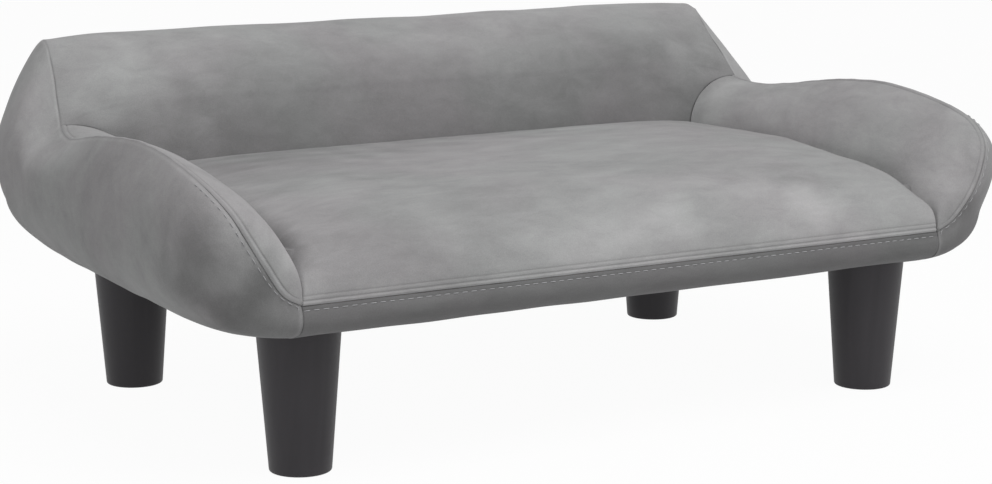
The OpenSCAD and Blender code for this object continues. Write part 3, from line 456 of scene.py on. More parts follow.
    def seat_panel(self, t, u):
        """Rows from crease to crease: the middle's place times 1 - c|u|^2 - (1-c)|u|^9, plus the crease's"""
        edge, middle = curve_at(self.crease_rows, t), self.seat_middle(t)
        crown = 1 - CROWN_SHARE * np.abs(u) ** CROWN_POWER - (1 - CROWN_SHARE) * np.abs(u) ** EDGE_POWER
        swell = lerp(crown[None], (1 - np.abs(u) ** BACK_POWER)[None], (t ** 3)[:, None])
        return np.stack([u[None] * edge[:, :1], lerp(edge[:, 1:2], middle[:, :1], swell),
                         lerp(edge[:, 2:], middle[:, 1:], swell)], axis=-1)

    def band_panel(self, u, t):
        """The band's section carried across the width between the arms"""
        section = self.band_profile(t)
        x = u[:, None] * self.seat_half_w
        return np.stack([x + 0 * t[None], section[None, :, 0] + 0 * x, section[None, :, 1] + 0 * x], axis=-1)

    def back_ends(self, arch, end, rear):
        """End of the back panel: up the arch of the arm, up the end seam, then over the top and down"""
        up = self.arm_panel(np.array([1.0]), 1 - arch)[0]
        seam = curve_at(self.end_rows, end)[1:, :3]
        down = curve_at(self.rear_rows, rear * self.rear_count / (len(self.rear_rows) - 1))[1:, :3]
        return np.vstack([up, seam, down])

    def back_rows(self, arch, end, rear):
        """Place of each row of the back panel, counted in rows of the middle profile"""
        return np.concatenate([arch * ARCH_SPAN, ARCH_SPAN + end[1:] * END_SPAN,
                               ARCH_SPAN + END_SPAN + rear[1:] * self.rear_count])

    def back_panel(self, arch, end, rear, u):
        """Rows across the width: the middle profile's place times 1 - |u|^7, plus the end's"""
        s = self.s
        ends = self.back_ends(arch, end, rear)
        shoulder = np.array([self.half_d - SHOULDER_SHARES[0] * s.back_thickness,
                             s.underside + SHOULDER_SHARES[1] * s.back_rise])
        front = lerp(self.seat_middle(np.array([1.0])), shoulder, np.linspace(0, 1, ARCH_SPAN + 1)[:, None])
        profile = np.column_stack([self.half_d - BACK_PROFILE_SHARES[:, 0] * s.back_thickness,
                                   s.underside + BACK_PROFILE_SHARES[:, 1] * s.back_rise])
        middle_rows = np.vstack([front, profile])
        middle = curve_at(middle_rows, self.back_rows(arch, end, rear) / (len(middle_rows) - 1))
        swell = (1 - np.abs(u) ** BACK_POWER)[None]
        return np.stack([u[None] * ends[:, :1], lerp(ends[:, 1:2], middle[:, :1], swell),
                         lerp(ends[:, 2:], middle[:, 1:], swell)], axis=-1)


# ---------------------------------------------------------------- meshes

def add_piece(name, points, quads, material, triangles=None, marks=None):
    """A mesh object from whole arrays of points and faces, smooth, with marks as point attributes"""
    loops = quads.reshape(-1)
    sizes = np.full(len(quads), 4)
    if triangles is not None and len(triangles):
        loops = np.concatenate([loops, triangles.reshape(-1)])
        sizes = np.concatenate([sizes, np.full(len(triangles), 3)])
    mesh = bpy.data.meshes.new(name)
    mesh.vertices.add(len(points))
    mesh.vertices.foreach_set("co", points.astype(np.float32).reshape(-1))
    mesh.loops.add(len(loops))
    mesh.loops.foreach_set("vertex_index", loops.astype(np.int32))
    mesh.polygons.add(len(sizes))
    mesh.polygons.foreach_set("loop_start", (np.cumsum(sizes) - sizes).astype(np.int32))
    mesh.update(calc_edges=True)
    mesh.polygons.foreach_set("use_smooth", np.ones(len(sizes), bool))
    for mark, values in (marks or {}).items():
        layer = mesh.attributes.new(mark, "FLOAT", "POINT")
        layer.data.foreach_set("value", values.astype(np.float32).reshape(-1))
    if mesh.validate():
        raise ValueError(f"{name} has faces that can't stand")
    if material:
        mesh.materials.append(material)
    piece = bpy.data.objects.new(name, mesh)
    bpy.context.scene.collection.objects.link(piece)
    return piece


def grid_quads(rows, columns, ring=False):
    """Corner numbers of the faces of a grid, whose rows close on themselves in a ring"""
    i, j = np.meshgrid(np.arange(rows if ring else rows - 1), np.arange(columns - 1), indexing="ij")
    k = (i + 1) % rows
    return np.stack([i * columns + j, k * columns + j, k * columns + j + 1, i * columns + j + 1],
                    axis=-1).reshape(-1, 4)


def rim_quads(rows, columns):
    """Faces that join the borders of two grids of the same size, the second listed after the first"""
    index = np.arange(rows * columns).reshape(rows, columns)
    border = np.concatenate([index[0], index[1:, -1], index[-1, -2::-1], index[-2:0:-1, 0]])
    ahead, below = np.roll(border, -1), rows * columns
    return np.column_stack([border, ahead, ahead + below, border + below])


def closed_pad(name, outer, inner, material, side, marks):
    """Closed pad between an outer and an inner grid of the same size; side is that of its normals, and marks
    are the velvet's painted seam shade and its mark of pile spots with painted light and shade"""
    rows, columns = outer.shape[:2]
    skin = grid_quads(rows, columns)
    quads = np.vstack([skin, skin[:, ::-1] + rows * columns, rim_quads(rows, columns)])
    if side < 0:
        quads = quads[:, ::-1]
    points = np.vstack([outer.reshape(-1, 3), inner.reshape(-1, 3)])
    both = {mark: np.concatenate([v.reshape(-1), v.reshape(-1)]) for mark, v in marks.items()}
    return add_piece(name, points, quads, bpy.data.materials[material], marks=both)


def mirrored(grid, side):
    """A grid of the right half carried to a side of the body"""
    return grid * np.array([side, 1, 1])


def soft_relief(grid, normals, edges, s, seed):
    """Outer face of a panel: each edge rolls in, puckers stand beside it and the whole undulates a little.
    edges holds, for each edge, the distances from it, the places along it, its roll and its share of
    puckers. Also gives the mark of painted shade in the sunken seams."""
    lift = sum(height * undulate(grid, pitch, seed + k) for k, (height, pitch) in enumerate(UNDULATIONS))
    calm = np.ones(grid.shape[:2])
    # Painted shade in the sunken seams: a bell of the distance from each edge
    seam_shade = np.zeros(grid.shape[:2])
    for distance, _, _, _ in edges:
        calm *= np.clip(distance / CALM_REACH, 0, 1)
        seam_shade = np.maximum(seam_shade, bump_at(distance, 0, GROOVE_WIDTH))
    lift = lift * calm
    for k, (distance, place, radius, puckers) in enumerate(edges):
        folds = wander(place + 0.25 * distance, s.pucker_pitch, seed + 10 + k)
        reach = np.exp(-distance / PUCKER_REACH) * np.clip(distance / radius, 0, 1)
        lift = lift + puckers * s.pucker_rise * folds * reach
    for distance, _, radius, _ in edges:
        lift = lift - roll(distance, radius)
    return grid + normals * lift[..., None], seam_shade


def along_rows(grid, places, wanted):
    """The rows of a grid that lie at wanted places, by straight steps between its rows at places"""
    k = np.clip(np.searchsorted(places, wanted) - 1, 0, len(places) - 2)
    r = np.clip((wanted - places[k]) / np.maximum(places[k + 1] - places[k], 1e-9), 0, 1)
    return lerp(grid[k], grid[k + 1], r[:, None, None])


def mean_run(grid):
    """Mean distance of each row of a grid from the first"""
    return np.concatenate([[0], np.cumsum(np.linalg.norm(np.diff(grid, axis=0), axis=2).mean(axis=1))])


def eased(net, corners, reach):
    """A net whose inner points are drawn 40 times to the mean of their four neighbours, by half of a bell of
    their distance from the nearest of the corners over reach"""
    away = np.min([np.linalg.norm(net - corner, axis=2) for corner in corners], axis=0)
    share = 0.5 * np.exp(-(away / reach) ** 2)[1:-1, 1:-1, None]
    for _ in range(40):
        mean = (net[:-2, 1:-1] + net[2:, 1:-1] + net[1:-1, :-2] + net[1:-1, 2:]) / 4
        net = net.copy()
        net[1:-1, 1:-1] = lerp(net[1:-1, 1:-1], mean, share)
    return net


def blown_out(grid, side, s, corners=(), reach=0.0):
    """A cover over padding: a coarse net of it is eased round its corners and blown out, and the grid moves
    with the net, whose moves are joined smoothly along rows and then along columns"""
    runs = mean_run(grid), mean_run(grid.transpose(1, 0, 2))
    counts = [max(8, round(run[-1] / s.cover_grid)) + 1 for run in runs]
    net = along_rows(grid, runs[0], np.linspace(0, runs[0][-1], counts[0]))
    net = along_rows(net.transpose(1, 0, 2), runs[1], np.linspace(0, runs[1][-1], counts[1])).transpose(1, 0, 2)
    start = net.reshape(-1, 3)
    if corners:
        net = eased(net, corners, reach)
    move = simulated(net, counts, side, s) + net.reshape(-1, 3) - start
    move = curve_at(move.reshape(counts[0], -1), runs[0] / runs[0][-1]).reshape(len(grid), counts[1], 3)
    move = move.transpose(1, 0, 2).reshape(counts[1], -1)
    move = curve_at(move, runs[1] / runs[1][-1]).reshape(grid.shape[1], len(grid), 3)
    return grid + move.transpose(1, 0, 2)


def simulated(net, counts, side, s):
    """Moves of the points of a net that is held at its edges and blown out by 20 frames of cloth simulation,
    each capped as the swell limit times the hyperbolic tangent of the move over the limit, fading where the
    net is narrower than 60 mm, and averaged twice with its neighbours, a quarter, a half and a quarter"""
    quads = grid_quads(*counts)
    points = net.reshape(-1, 3)
    cover = add_piece("cover_net", points, quads if side > 0 else quads[:, ::-1], None)
    index = np.arange(len(points)).reshape(counts)
    held = np.unique(np.concatenate([index[0], index[-1], index[:, 0], index[:, -1]]))
    cover.vertex_groups.new(name="sewn").add(held.tolist(), 1.0, "REPLACE")
    cloth = cover.modifiers.new("cover", "CLOTH")
    cloth.settings.vertex_group_mass = "sewn"
    cloth.settings.use_pressure = True
    cloth.settings.uniform_pressure_force = s.cover_pressure
    cloth.settings.shrink_min = cloth.settings.shrink_max = -s.cover_slack
    cloth.settings.tension_stiffness = cloth.settings.compression_stiffness = s.cover_stiffness
    cloth.settings.bending_stiffness = 2.0
    cloth.settings.effector_weights.gravity = 0
    cloth.point_cache.frame_start, cloth.point_cache.frame_end = 1, CLOTH_FRAMES
    scene = bpy.context.scene
    for step in range(1, CLOTH_FRAMES + 1):
        scene.frame_set(step)
    blown = np.empty(points.size, np.float32)
    cover.evaluated_get(bpy.context.evaluated_depsgraph_get()).data.vertices.foreach_get("co", blown)
    mesh = cover.data
    bpy.data.objects.remove(cover)
    bpy.data.meshes.remove(mesh)
    scene.frame_set(1)
    move = blown.reshape(-1, 3) - points
    far = np.maximum(np.linalg.norm(move, axis=1, keepdims=True), 1e-9)
    move = (move * s.swell_limit * np.tanh(far / s.swell_limit) / far).reshape(*counts, 3)
    move *= np.clip(run_across(net)[:, -1:] / 0.05 - 0.2, 0, 1)[..., None]
    for _ in range(2):
        move[1:-1] = (move[:-2] + 2 * move[1:-1] + move[2:]) / 4
        move[:, 1:-1] = (move[:, :-2] + 2 * move[:, 1:-1] + move[:, 2:]) / 4
    return move.reshape(-1, 3)


def tucked(grid, reach):
    """The grid with four columns more, which run on from its last one by reach and hide behind a neighbour"""
    way = unit(grid[:, -1] - grid[:, -3])
    steps = np.linspace(0, 1, TUCK_COLUMNS + 1)[1:]
    more = grid[:, -1:] + way[:, None] * (np.broadcast_to(reach, len(grid))[:, None] * steps)[..., None]
    return np.concatenate([grid, more], axis=1)


def at_distance(grid, distance, wanted):
    """Points on each row of a grid at a wanted distance from its first column, by straight steps"""
    k = np.clip((distance < wanted).sum(axis=1) - 1, 0, grid.shape[1] - 2)
    rows = np.arange(len(grid))
    a, b = distance[rows, k], distance[rows, k + 1]
    t = np.clip((wanted - a) / np.maximum(b - a, 1e-9), 0, 1)[:, None]
    return lerp(grid[rows, k], grid[rows, k + 1], t)


def on_path(values, run, places):
    """Values of a path's points at places along it, by straight steps"""
    return np.column_stack([np.interp(places, run, values[:, k]) for k in range(3)])


def add_stitches(name, grid, normals, distance, nose=slice(None)):
    """A row of stitches beside the first column of a grid, on its rows nose: thread of six sides whose radius
    is that of the thread times (1 - a^4)^(1/2) and whose rise is a radius times 1.2 - 1.4 a^2, at shares a
    from -1 to 1 of each stitch."""
    s = bpy.context.scene.sofa_sizes
    path, normals = (at_distance(each, distance, s.stitch_place)[nose] for each in (grid, normals))
    run = run_along(path)
    count = int(run[-1] / s.stitch_pitch)
    a = np.linspace(-0.97, 0.97, 6)
    angles = np.arange(6) * (2 * np.pi / 6)
    centres = (np.arange(count) + 0.5) * s.stitch_pitch
    places = (centres[:, None] + a[None] * s.stitch_length / 2).reshape(-1)
    spine, up = on_path(path, run, places), on_path(normals, run, places)
    near = 0.0004
    ahead = unit(on_path(path, run, places + near) - on_path(path, run, places - near))
    across = unit(np.cross(up, ahead))
    up = np.cross(ahead, across)
    radius = np.tile(s.thread_radius * np.sqrt(1 - a ** 4), count)
    rise = np.tile(s.thread_radius * (1.2 - a ** 2 * 1.4), count)
    ring = (across[:, None] * np.cos(angles)[None, :, None] + up[:, None] * np.sin(angles)[None, :, None])
    points = (spine + up * rise[:, None])[:, None] + ring * radius[:, None, None]
    points = points.reshape(count, 6, 6, 3)
    i, k = np.meshgrid(np.arange(5), np.arange(6), indexing="ij")
    n = (k + 1) % 6
    walls = np.stack([i * 6 + k, i * 6 + n, (i + 1) * 6 + n, (i + 1) * 6 + k], axis=-1).reshape(-1, 4)
    caps = np.array([[0, 3, 2, 1], [0, 5, 4, 3], [30, 31, 32, 33], [30, 33, 34, 35]])
    one = np.vstack([walls, caps])
    quads = (one[None] + 36 * np.arange(count)[:, None, None]).reshape(-1, 4)
    piece = add_piece(name, points.reshape(-1, 3), quads, bpy.data.materials["stitch_thread"])
    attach(piece, "sofa")


# ---------------------------------------------------------------- materials

def toned(colour, tone):
    """A colour times a tone"""
    return [tone * c for c in colour]


def new_material(name):
    """A material with nodes: its tree and its shader"""
    material = bpy.data.materials.new(name)
    material.use_nodes = True
    return material, material.node_tree, material.node_tree.nodes["Principled BSDF"]


def add_node(tree, kind, **values):
    """A node with some of its inputs or settings set by name"""
    made = tree.nodes.new(kind)
    for key, value in values.items():
        if key in made.inputs:
            made.inputs[key].default_value = value
        else:
            setattr(made, key, value)
    return made


def feed(tree, socket, value):
    """Links an output to a socket, or sets the socket's own value"""
    if isinstance(value, bpy.types.NodeSocket):
        tree.links.new(value, socket)
    else:
        socket.default_value = value


def object_place(tree):
    """Object coordinates"""
    return add_node(tree, "ShaderNodeTexCoord").outputs["Object"]


def noise(tree, place, scale, detail, stretch=(1, 1, 1), turn=(0, 0, 0), distortion=0.0, coarse=0.5):
    """Noise on Object coordinates, stretched and turned, whose finer waves keep a coarse share"""
    mapping = add_node(tree, "ShaderNodeMapping", Scale=stretch, Rotation=turn)
    tree.links.new(place, mapping.inputs["Vector"])
    made = add_node(tree, "ShaderNodeTexNoise", Scale=scale, Detail=detail, Distortion=distortion,
                    Roughness=coarse)
    tree.links.new(mapping.outputs["Vector"], made.inputs["Vector"])
    return made.outputs["Fac"]


def ramp(tree, value, stops):
    """Colour ramp through (place, colour) stops"""
    made = tree.nodes.new("ShaderNodeValToRGB")
    elements = made.color_ramp.elements
    while len(elements) < len(stops):
        elements.new(0.5)
    for element, (place, colour) in zip(elements, stops):
        element.position = place
        element.color = (*colour, 1)
    tree.links.new(value, made.inputs["Fac"])
    return made.outputs["Color"]


def blend_colours(tree, share, a, b, kind="MIX"):
    """Mix of two colours, each an output or a value, by a share"""
    made = add_node(tree, "ShaderNodeMix", data_type="RGBA", blend_type=kind)
    for socket, value in ((made.inputs[0], share), (made.inputs[6], a), (made.inputs[7], b)):
        feed(tree, socket, value)
    return made.outputs[2]


def reckon(tree, kind, a, b):
    """Sum, product or other arithmetic of two values"""
    made = add_node(tree, "ShaderNodeMath", operation=kind)
    for socket, value in zip(made.inputs, (a, b)):
        feed(tree, socket, value)
    return made.outputs[0]


def scaled(tree, value, times, plus):
    """A value times a number, plus a number"""
    return reckon(tree, "ADD", reckon(tree, "MULTIPLY", value, times), plus)


def mixed(tree, a, share_a, b, share_b):
    """Sum of two values, each times its share"""
    return reckon(tree, "ADD", reckon(tree, "MULTIPLY", a, share_a), reckon(tree, "MULTIPLY", b, share_b))


def dress(tree, shader, colour, roughness, height=None, strength=0.0, depth=0.0):
    """Puts a colour, a roughness and, where there is a height, a bump on the shader"""
    feed(tree, shader.inputs["Base Color"], colour)
    feed(tree, shader.inputs["Roughness"], roughness)
    if height is not None:
        bump = add_node(tree, "ShaderNodeBump", Strength=strength, Distance=depth)
        feed(tree, bump.inputs["Height"], height)
        feed(tree, shader.inputs["Normal"], bump.outputs["Normal"])


def velvet(name, colours, stretch, turn, tone):
    """Short velvet: patches where the pile lies another way, stretched along the brushing, short streaks of
    brushing over them, fine pile in the bump and a pale sheen. One mark makes it paler, or darker below 0, and
    holds pile spots and painted light and shade together; the other paints shade into the seams."""
    _, tree, shader = new_material(name)
    place = object_place(tree)
    patches = noise(tree, place, 15, 10, stretch, turn, distortion=0.4, coarse=0.66)
    streaks = noise(tree, place, 60, 8, stretch, turn, distortion=0.5, coarse=0.68)
    pile = noise(tree, place, 1400, 2)
    pile_and_light_mark, seam_shade = (add_node(tree, "ShaderNodeAttribute", attribute_name=mark).outputs["Fac"]
                     for mark in ("pile_and_painted_light", "seam_shade"))
    # The mark of pile spots and painted light and shade moves the pile a little and scales the colour by 1 + 0.22
    # times itself
    nap = reckon(tree, "ADD", mixed(tree, patches, 0.60, streaks, 0.40), reckon(tree, "MULTIPLY", pile_and_light_mark, 0.04))
    deep, plain, pale = (toned(colour, tone)
                         for colour in (colours.velvet_deep, colours.velvet, colours.velvet_pale))
    way = add_node(tree, "ShaderNodeVectorMath", operation="SCALE")
    feed(tree, way.inputs[0], ramp(tree, nap, [(0.31, deep), (0.50, plain), (0.71, pale)]))
    feed(tree, way.inputs["Scale"], scaled(tree, pile_and_light_mark, 0.22, 1.0))
    fleck = ramp(tree, pile, [(0.3, (0.86, 0.86, 0.86)), (0.7, (1.0, 1.0, 1.0))])
    colour = blend_colours(tree, 1.0, way.outputs[0], fleck, "MULTIPLY")
    tint = noise(tree, place, 9, 2, turn=(0.4, 0.8, 0.2))
    tinted = ramp(tree, tint, [(0.40, (1.0, 0.984, 0.993)), (0.60, (0.986, 1.0, 0.993))])
    colour = blend_colours(tree, 1.0, colour, tinted, "MULTIPLY")
    # Painted shade in the seams, up to 0.24 of the way to near-black
    colour = blend_colours(tree, reckon(tree, "MULTIPLY", seam_shade, 0.24), colour, (0.08, 0.08, 0.082, 1))
    dress(tree, shader, colour, scaled(tree, nap, 0.18, 0.74), mixed(tree, pile, 0.5, streaks, 1.6),
          strength=0.32, depth=0.0006)
    shader.inputs["Specular IOR Level"].default_value = 0.18
    shader.inputs["Sheen Weight"].default_value = 0.12
    shader.inputs["Sheen Roughness"].default_value = 0.42
    shader.inputs["Sheen Tint"].default_value = (0.86, 0.86, 0.88, 1)


def thread_material(colour):
    """Twisted polyester thread: fine waves across it and a soft gloss"""
    _, tree, shader = new_material("stitch_thread")
    twist = add_node(tree, "ShaderNodeTexWave", Scale=900, Distortion=1.5)
    feed(tree, twist.inputs["Vector"], object_place(tree))
    pale = ramp(tree, twist.outputs["Fac"], [(0.2, toned(colour, 0.72)), (0.8, list(colour))])
    dress(tree, shader, pale, 0.55, twist.outputs["Fac"], strength=0.4, depth=0.0001)


def wood_material(name, colour, grain, gloss):
    """Board: grain along X from stretched noise, with fine pores in the bump"""
    material, tree, shader = new_material(name)
    place = object_place(tree)
    long_grain = noise(tree, place, grain, 6, stretch=(0.12, 1, 1), distortion=1.4)
    pores = noise(tree, place, grain * 14, 2, stretch=(0.08, 1, 1))
    pale = [min(1, 1.15 * c) for c in colour]
    board = ramp(tree, long_grain, [(0.3, toned(colour, 0.62)), (0.5, list(colour)), (0.72, pale)])
    specks = ramp(tree, pores, [(0.35, (0.82, 0.80, 0.78)), (0.55, (1, 1, 1))])
    dress(tree, shader, blend_colours(tree, 1.0, board, specks, "MULTIPLY"), scaled(tree, pores, 0.2, gloss),
          pores, strength=0.25, depth=0.0004)
    return material


def lacquer_material(colour):
    """Near-black lacquer on turned wood: faint upright grain, orange peel and a satin gloss"""
    material, tree, shader = new_material("leg_lacquer")
    place = object_place(tree)
    grain = noise(tree, place, 60, 5, stretch=(1, 1, 0.06), distortion=0.8)
    peel = noise(tree, place, 420, 2)
    black = ramp(tree, grain, [(0.3, toned(colour, 0.86)), (0.7, toned(colour, 1.14))])
    dress(tree, shader, black, scaled(tree, peel, 0.12, 0.44), mixed(tree, grain, 0.7, peel, 0.3),
          strength=0.12, depth=0.0003)
    shader.inputs["Specular IOR Level"].default_value = 0.35
    return material


def steel_material(colour):
    """Bright zinc plating: cloudy spangle in colour and gloss"""
    material, tree, shader = new_material("bright_zinc")
    cloud = noise(tree, object_place(tree), 160, 4)
    plate = ramp(tree, cloud, [(0.3, toned(colour, 0.85)), (0.7, list(colour))])
    dress(tree, shader, plate, scaled(tree, cloud, 0.3, 0.18))
    shader.inputs["Metallic"].default_value = 1.0
    return material


def cloth_material(colour):
    """Spun dust cloth: a tangle of fibres in colour and bump"""
    material, tree, shader = new_material("spun_dust_cloth")
    fibres = noise(tree, object_place(tree), 900, 4, stretch=(1, 0.4, 1), turn=(0, 0, 0.7), distortion=2.0)
    spun = ramp(tree, fibres, [(0.35, toned(colour, 0.6)), (0.7, toned(colour, 1.7))])
    dress(tree, shader, spun, 0.92, fibres, strength=0.5, depth=0.0003)
    return material


def give(nodes, material):
    """Gives a material to CAD nodes"""
    for name in nodes:
        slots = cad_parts[name].material_slots
        for k in range(len(slots)):
            slots[k].material = material


def sizes_and_body(context):
    """The sizes that the user sees, and the seams worked out from them"""
    return context.scene.sofa_sizes, Body(context.scene.sofa_sizes)


def settle(piece, nodes):
    """A padded piece rides on the sofa and stands for its CAD nodes"""
    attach(piece, "sofa")
    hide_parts(*nodes)


def pile_and_painted_light(points, spots):
    """Mark of pile spots and of painted light and shade, paler above 0 and darker below: bells round spots
    (x, y, z, reach, strength), 1.6 times as long along X, whose reach is made ragged by noise of 35 mm"""
    mark = np.zeros(points.shape[:2])
    for x, y, z, reach, strength in spots:
        away = np.linalg.norm((points - np.array([x, y, z])) / np.array([1.6, 1, 1]), axis=2)
        ragged = 1 + 0.5 * undulate(points, 0.035, int(1000 * abs(x)) + 3)
        mark += strength * np.exp(-(away / (reach * np.maximum(ragged, 0.2))) ** 2)
    return mark


# ---------------------------------------------------------------- operators

class SOFA_OT_seat_pad(bpy.types.Operator):
    """Makes the crowned seat pad, rolled over the front"""
    bl_idname = "sofa.seat_pad"
    bl_label = "Seat pad"
    rows, columns, seed = 150, 281, 100
    # Spots: the dark ones along the rear, at y 0.06 to 0.075, are painted shade under the backrest; the others
    # make the seat paler at the front and darker at its front left and left middle
    spots = ((0.03, -0.210, 0.162, 0.020, 0.8), (-0.03, -0.212, 0.15, 0.020, 0.4),
             (0.165, -0.208, 0.16, 0.018, 0.9), (-0.20, -0.210, 0.150, 0.050, -0.6),
             (-0.16, 0.06, 0.19, 0.05, -0.9), (-0.04, 0.07, 0.19, 0.045, -0.7), (0.06, 0.075, 0.19, 0.03, -0.5),
             (-0.21, -0.02, 0.185, 0.045, -0.8), (-0.10, -0.01, 0.19, 0.03, -0.4))
    # Depth of the seam lines, strength of the painted shade in the dip beside an arm, then strength and reach of
    # the painted light along the front edge
    line_depth, dip_darkness, front_shine, front_reach = 0.0005, 230, 0.7, 0.035

    def execute(self, context):
        s, body = sizes_and_body(context)
        t, u = crowded(self.rows, 0.8, 0.6), 2 * crowded(self.columns, 0.75, 0.75) - 1
        grid = blown_out(body.seat_panel(t, u), -1, s)
        normals = normals_of(grid, -1)
        left, right, front, rear = edge_runs(grid)
        # The roll beside an arm grows from a tenth at the front seam to the whole 40 mm behind it
        side_roll = s.crease_roll * lerp(0.1, 1, np.clip(front / 0.04, 0, 1))
        edges = [(left, front, side_roll, 0.8), (right, front, side_roll, 0.8),
                 (front, left, s.seam_roll, 1.2), (rear, left, s.rear_roll, 0.5)]
        outer, seam_shade = soft_relief(grid, normals, edges, s, self.seed)
        # Two seam lines behind a welt that is half as high as the arms'
        lines = bump_at(front, s.welt_width * 0.75, LINE_WIDTH)
        lines += 0.7 * bump_at(front, s.welt_width * 1.5, LINE_WIDTH)
        welt = bump_at(front, s.welt_width * 0.4, s.welt_width * 0.2)
        dip = self.dip(s, np.minimum(left, right), front)
        outer += normals * (0.5 * s.welt_rise * welt - self.line_depth * lines - dip)[..., None]
        self.keep_above_deck(outer)
        # Painted light along the front edge and painted shade in the dip beside an arm join the spots; the two
        # seam lines get painted shade like the sunken seams
        pile_and_light_mark = pile_and_painted_light(grid, self.spots) + self.front_shine * bump_at(front, 0, self.front_reach) \
            - self.dip_darkness * dip
        pad = closed_pad("seat_pad", outer, self.underneath(grid, body, t), "velvet_seat", -1,
                         {"seam_shade": np.maximum(seam_shade, 0.5 * np.clip(lines, 0, 1)), "pile_and_painted_light": pile_and_light_mark})
        settle(pad, ("seat_cover", "seat_foam"))
        return {"FINISHED"}

    @staticmethod
    def dip(s, side, front):
        """Depth to which the edge is pulled down beside an arm: a bell of the distance from the arm that sets
        in behind the front seam and fades toward the backrest"""
        set_in = np.clip(front / 0.03 - 0.6, 0, 1)
        return s.side_dip * bump_at(side, 0, 0.011) * set_in * np.clip((0.20 - front) / 0.07, 0, 1)

    @staticmethod
    def keep_above_deck(outer):
        """Raises what would lie less than 1.5 mm above the seat deck, or below a slope of 5 in 2 ahead of it"""
        low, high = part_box("seat_deck")
        ahead = np.maximum(low.y - 0.0008 - outer[..., 1], 0)
        lowest = np.where(np.abs(outer[..., 0]) < high.x + 0.0005, high.z + 0.0015 - 2.5 * ahead, 0)
        outer[..., 2] = np.maximum(outer[..., 2], lowest)

    @staticmethod
    def underneath(grid, body, t):
        """Underside: up the front rail over the first quarter of the rows, then back along the seat deck"""
        share, zero = 0.25, 0 * grid[..., 0]
        frame_front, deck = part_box("base_board")[0].y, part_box("seat_deck")[1].z
        y = lerp(frame_front, grid[-1, :, 1].min(), np.clip((t - share) / (1 - share), 0, 1))
        z = lerp(body.seam_z, deck, np.clip(t / share, 0, 1))
        return np.stack([grid[..., 0] * 0.985, y[:, None] + zero, z[:, None] + zero], axis=-1)


class SOFA_OT_front_band(bpy.types.Operator):
    """Makes the narrow band under the seat with its topstitch"""
    bl_idname = "sofa.front_band"
    bl_label = "Front band"
    rows, columns, seed = 241, 60, 200
    line_depth, thickness = 0.0004, 0.0025

    def execute(self, context):
        s, body = sizes_and_body(context)
        u, t = 2 * crowded(self.rows, 0.75, 0.75) - 1, crowded(self.columns, 0.7, 0.3)
        grid = body.band_panel(u, t)
        normals = normals_of(grid, -1)
        top, _, left, right = edge_runs(grid)
        edges = [(top, left, s.seam_roll, 1.4), (left, top, 0.6 * s.seam_roll, 1.0),
                 (right, top, 0.6 * s.seam_roll, 1.0)]
        outer, seam_shade = soft_relief(grid, normals, edges, s, self.seed)
        # Painted shade, mostly along the top seam, and some in the stitch line below it
        seam_shade = 0.4 * seam_shade + 0.6 * bump_at(top, 0, GROOVE_WIDTH)
        line = bump_at(top, s.stitch_place, GROOVE_WIDTH)
        outer -= normals * (self.line_depth * line)[..., None]
        band = closed_pad("front_band_pad", outer, grid - normals * self.thickness, "velvet_band", -1,
                          {"seam_shade": np.maximum(seam_shade, 0.3 * line), "pile_and_painted_light": np.zeros(seam_shade.shape)})
        settle(band, ("front_band",))
        add_stitches("stitches_front", outer, normals, top)
        return {"FINISHED"}


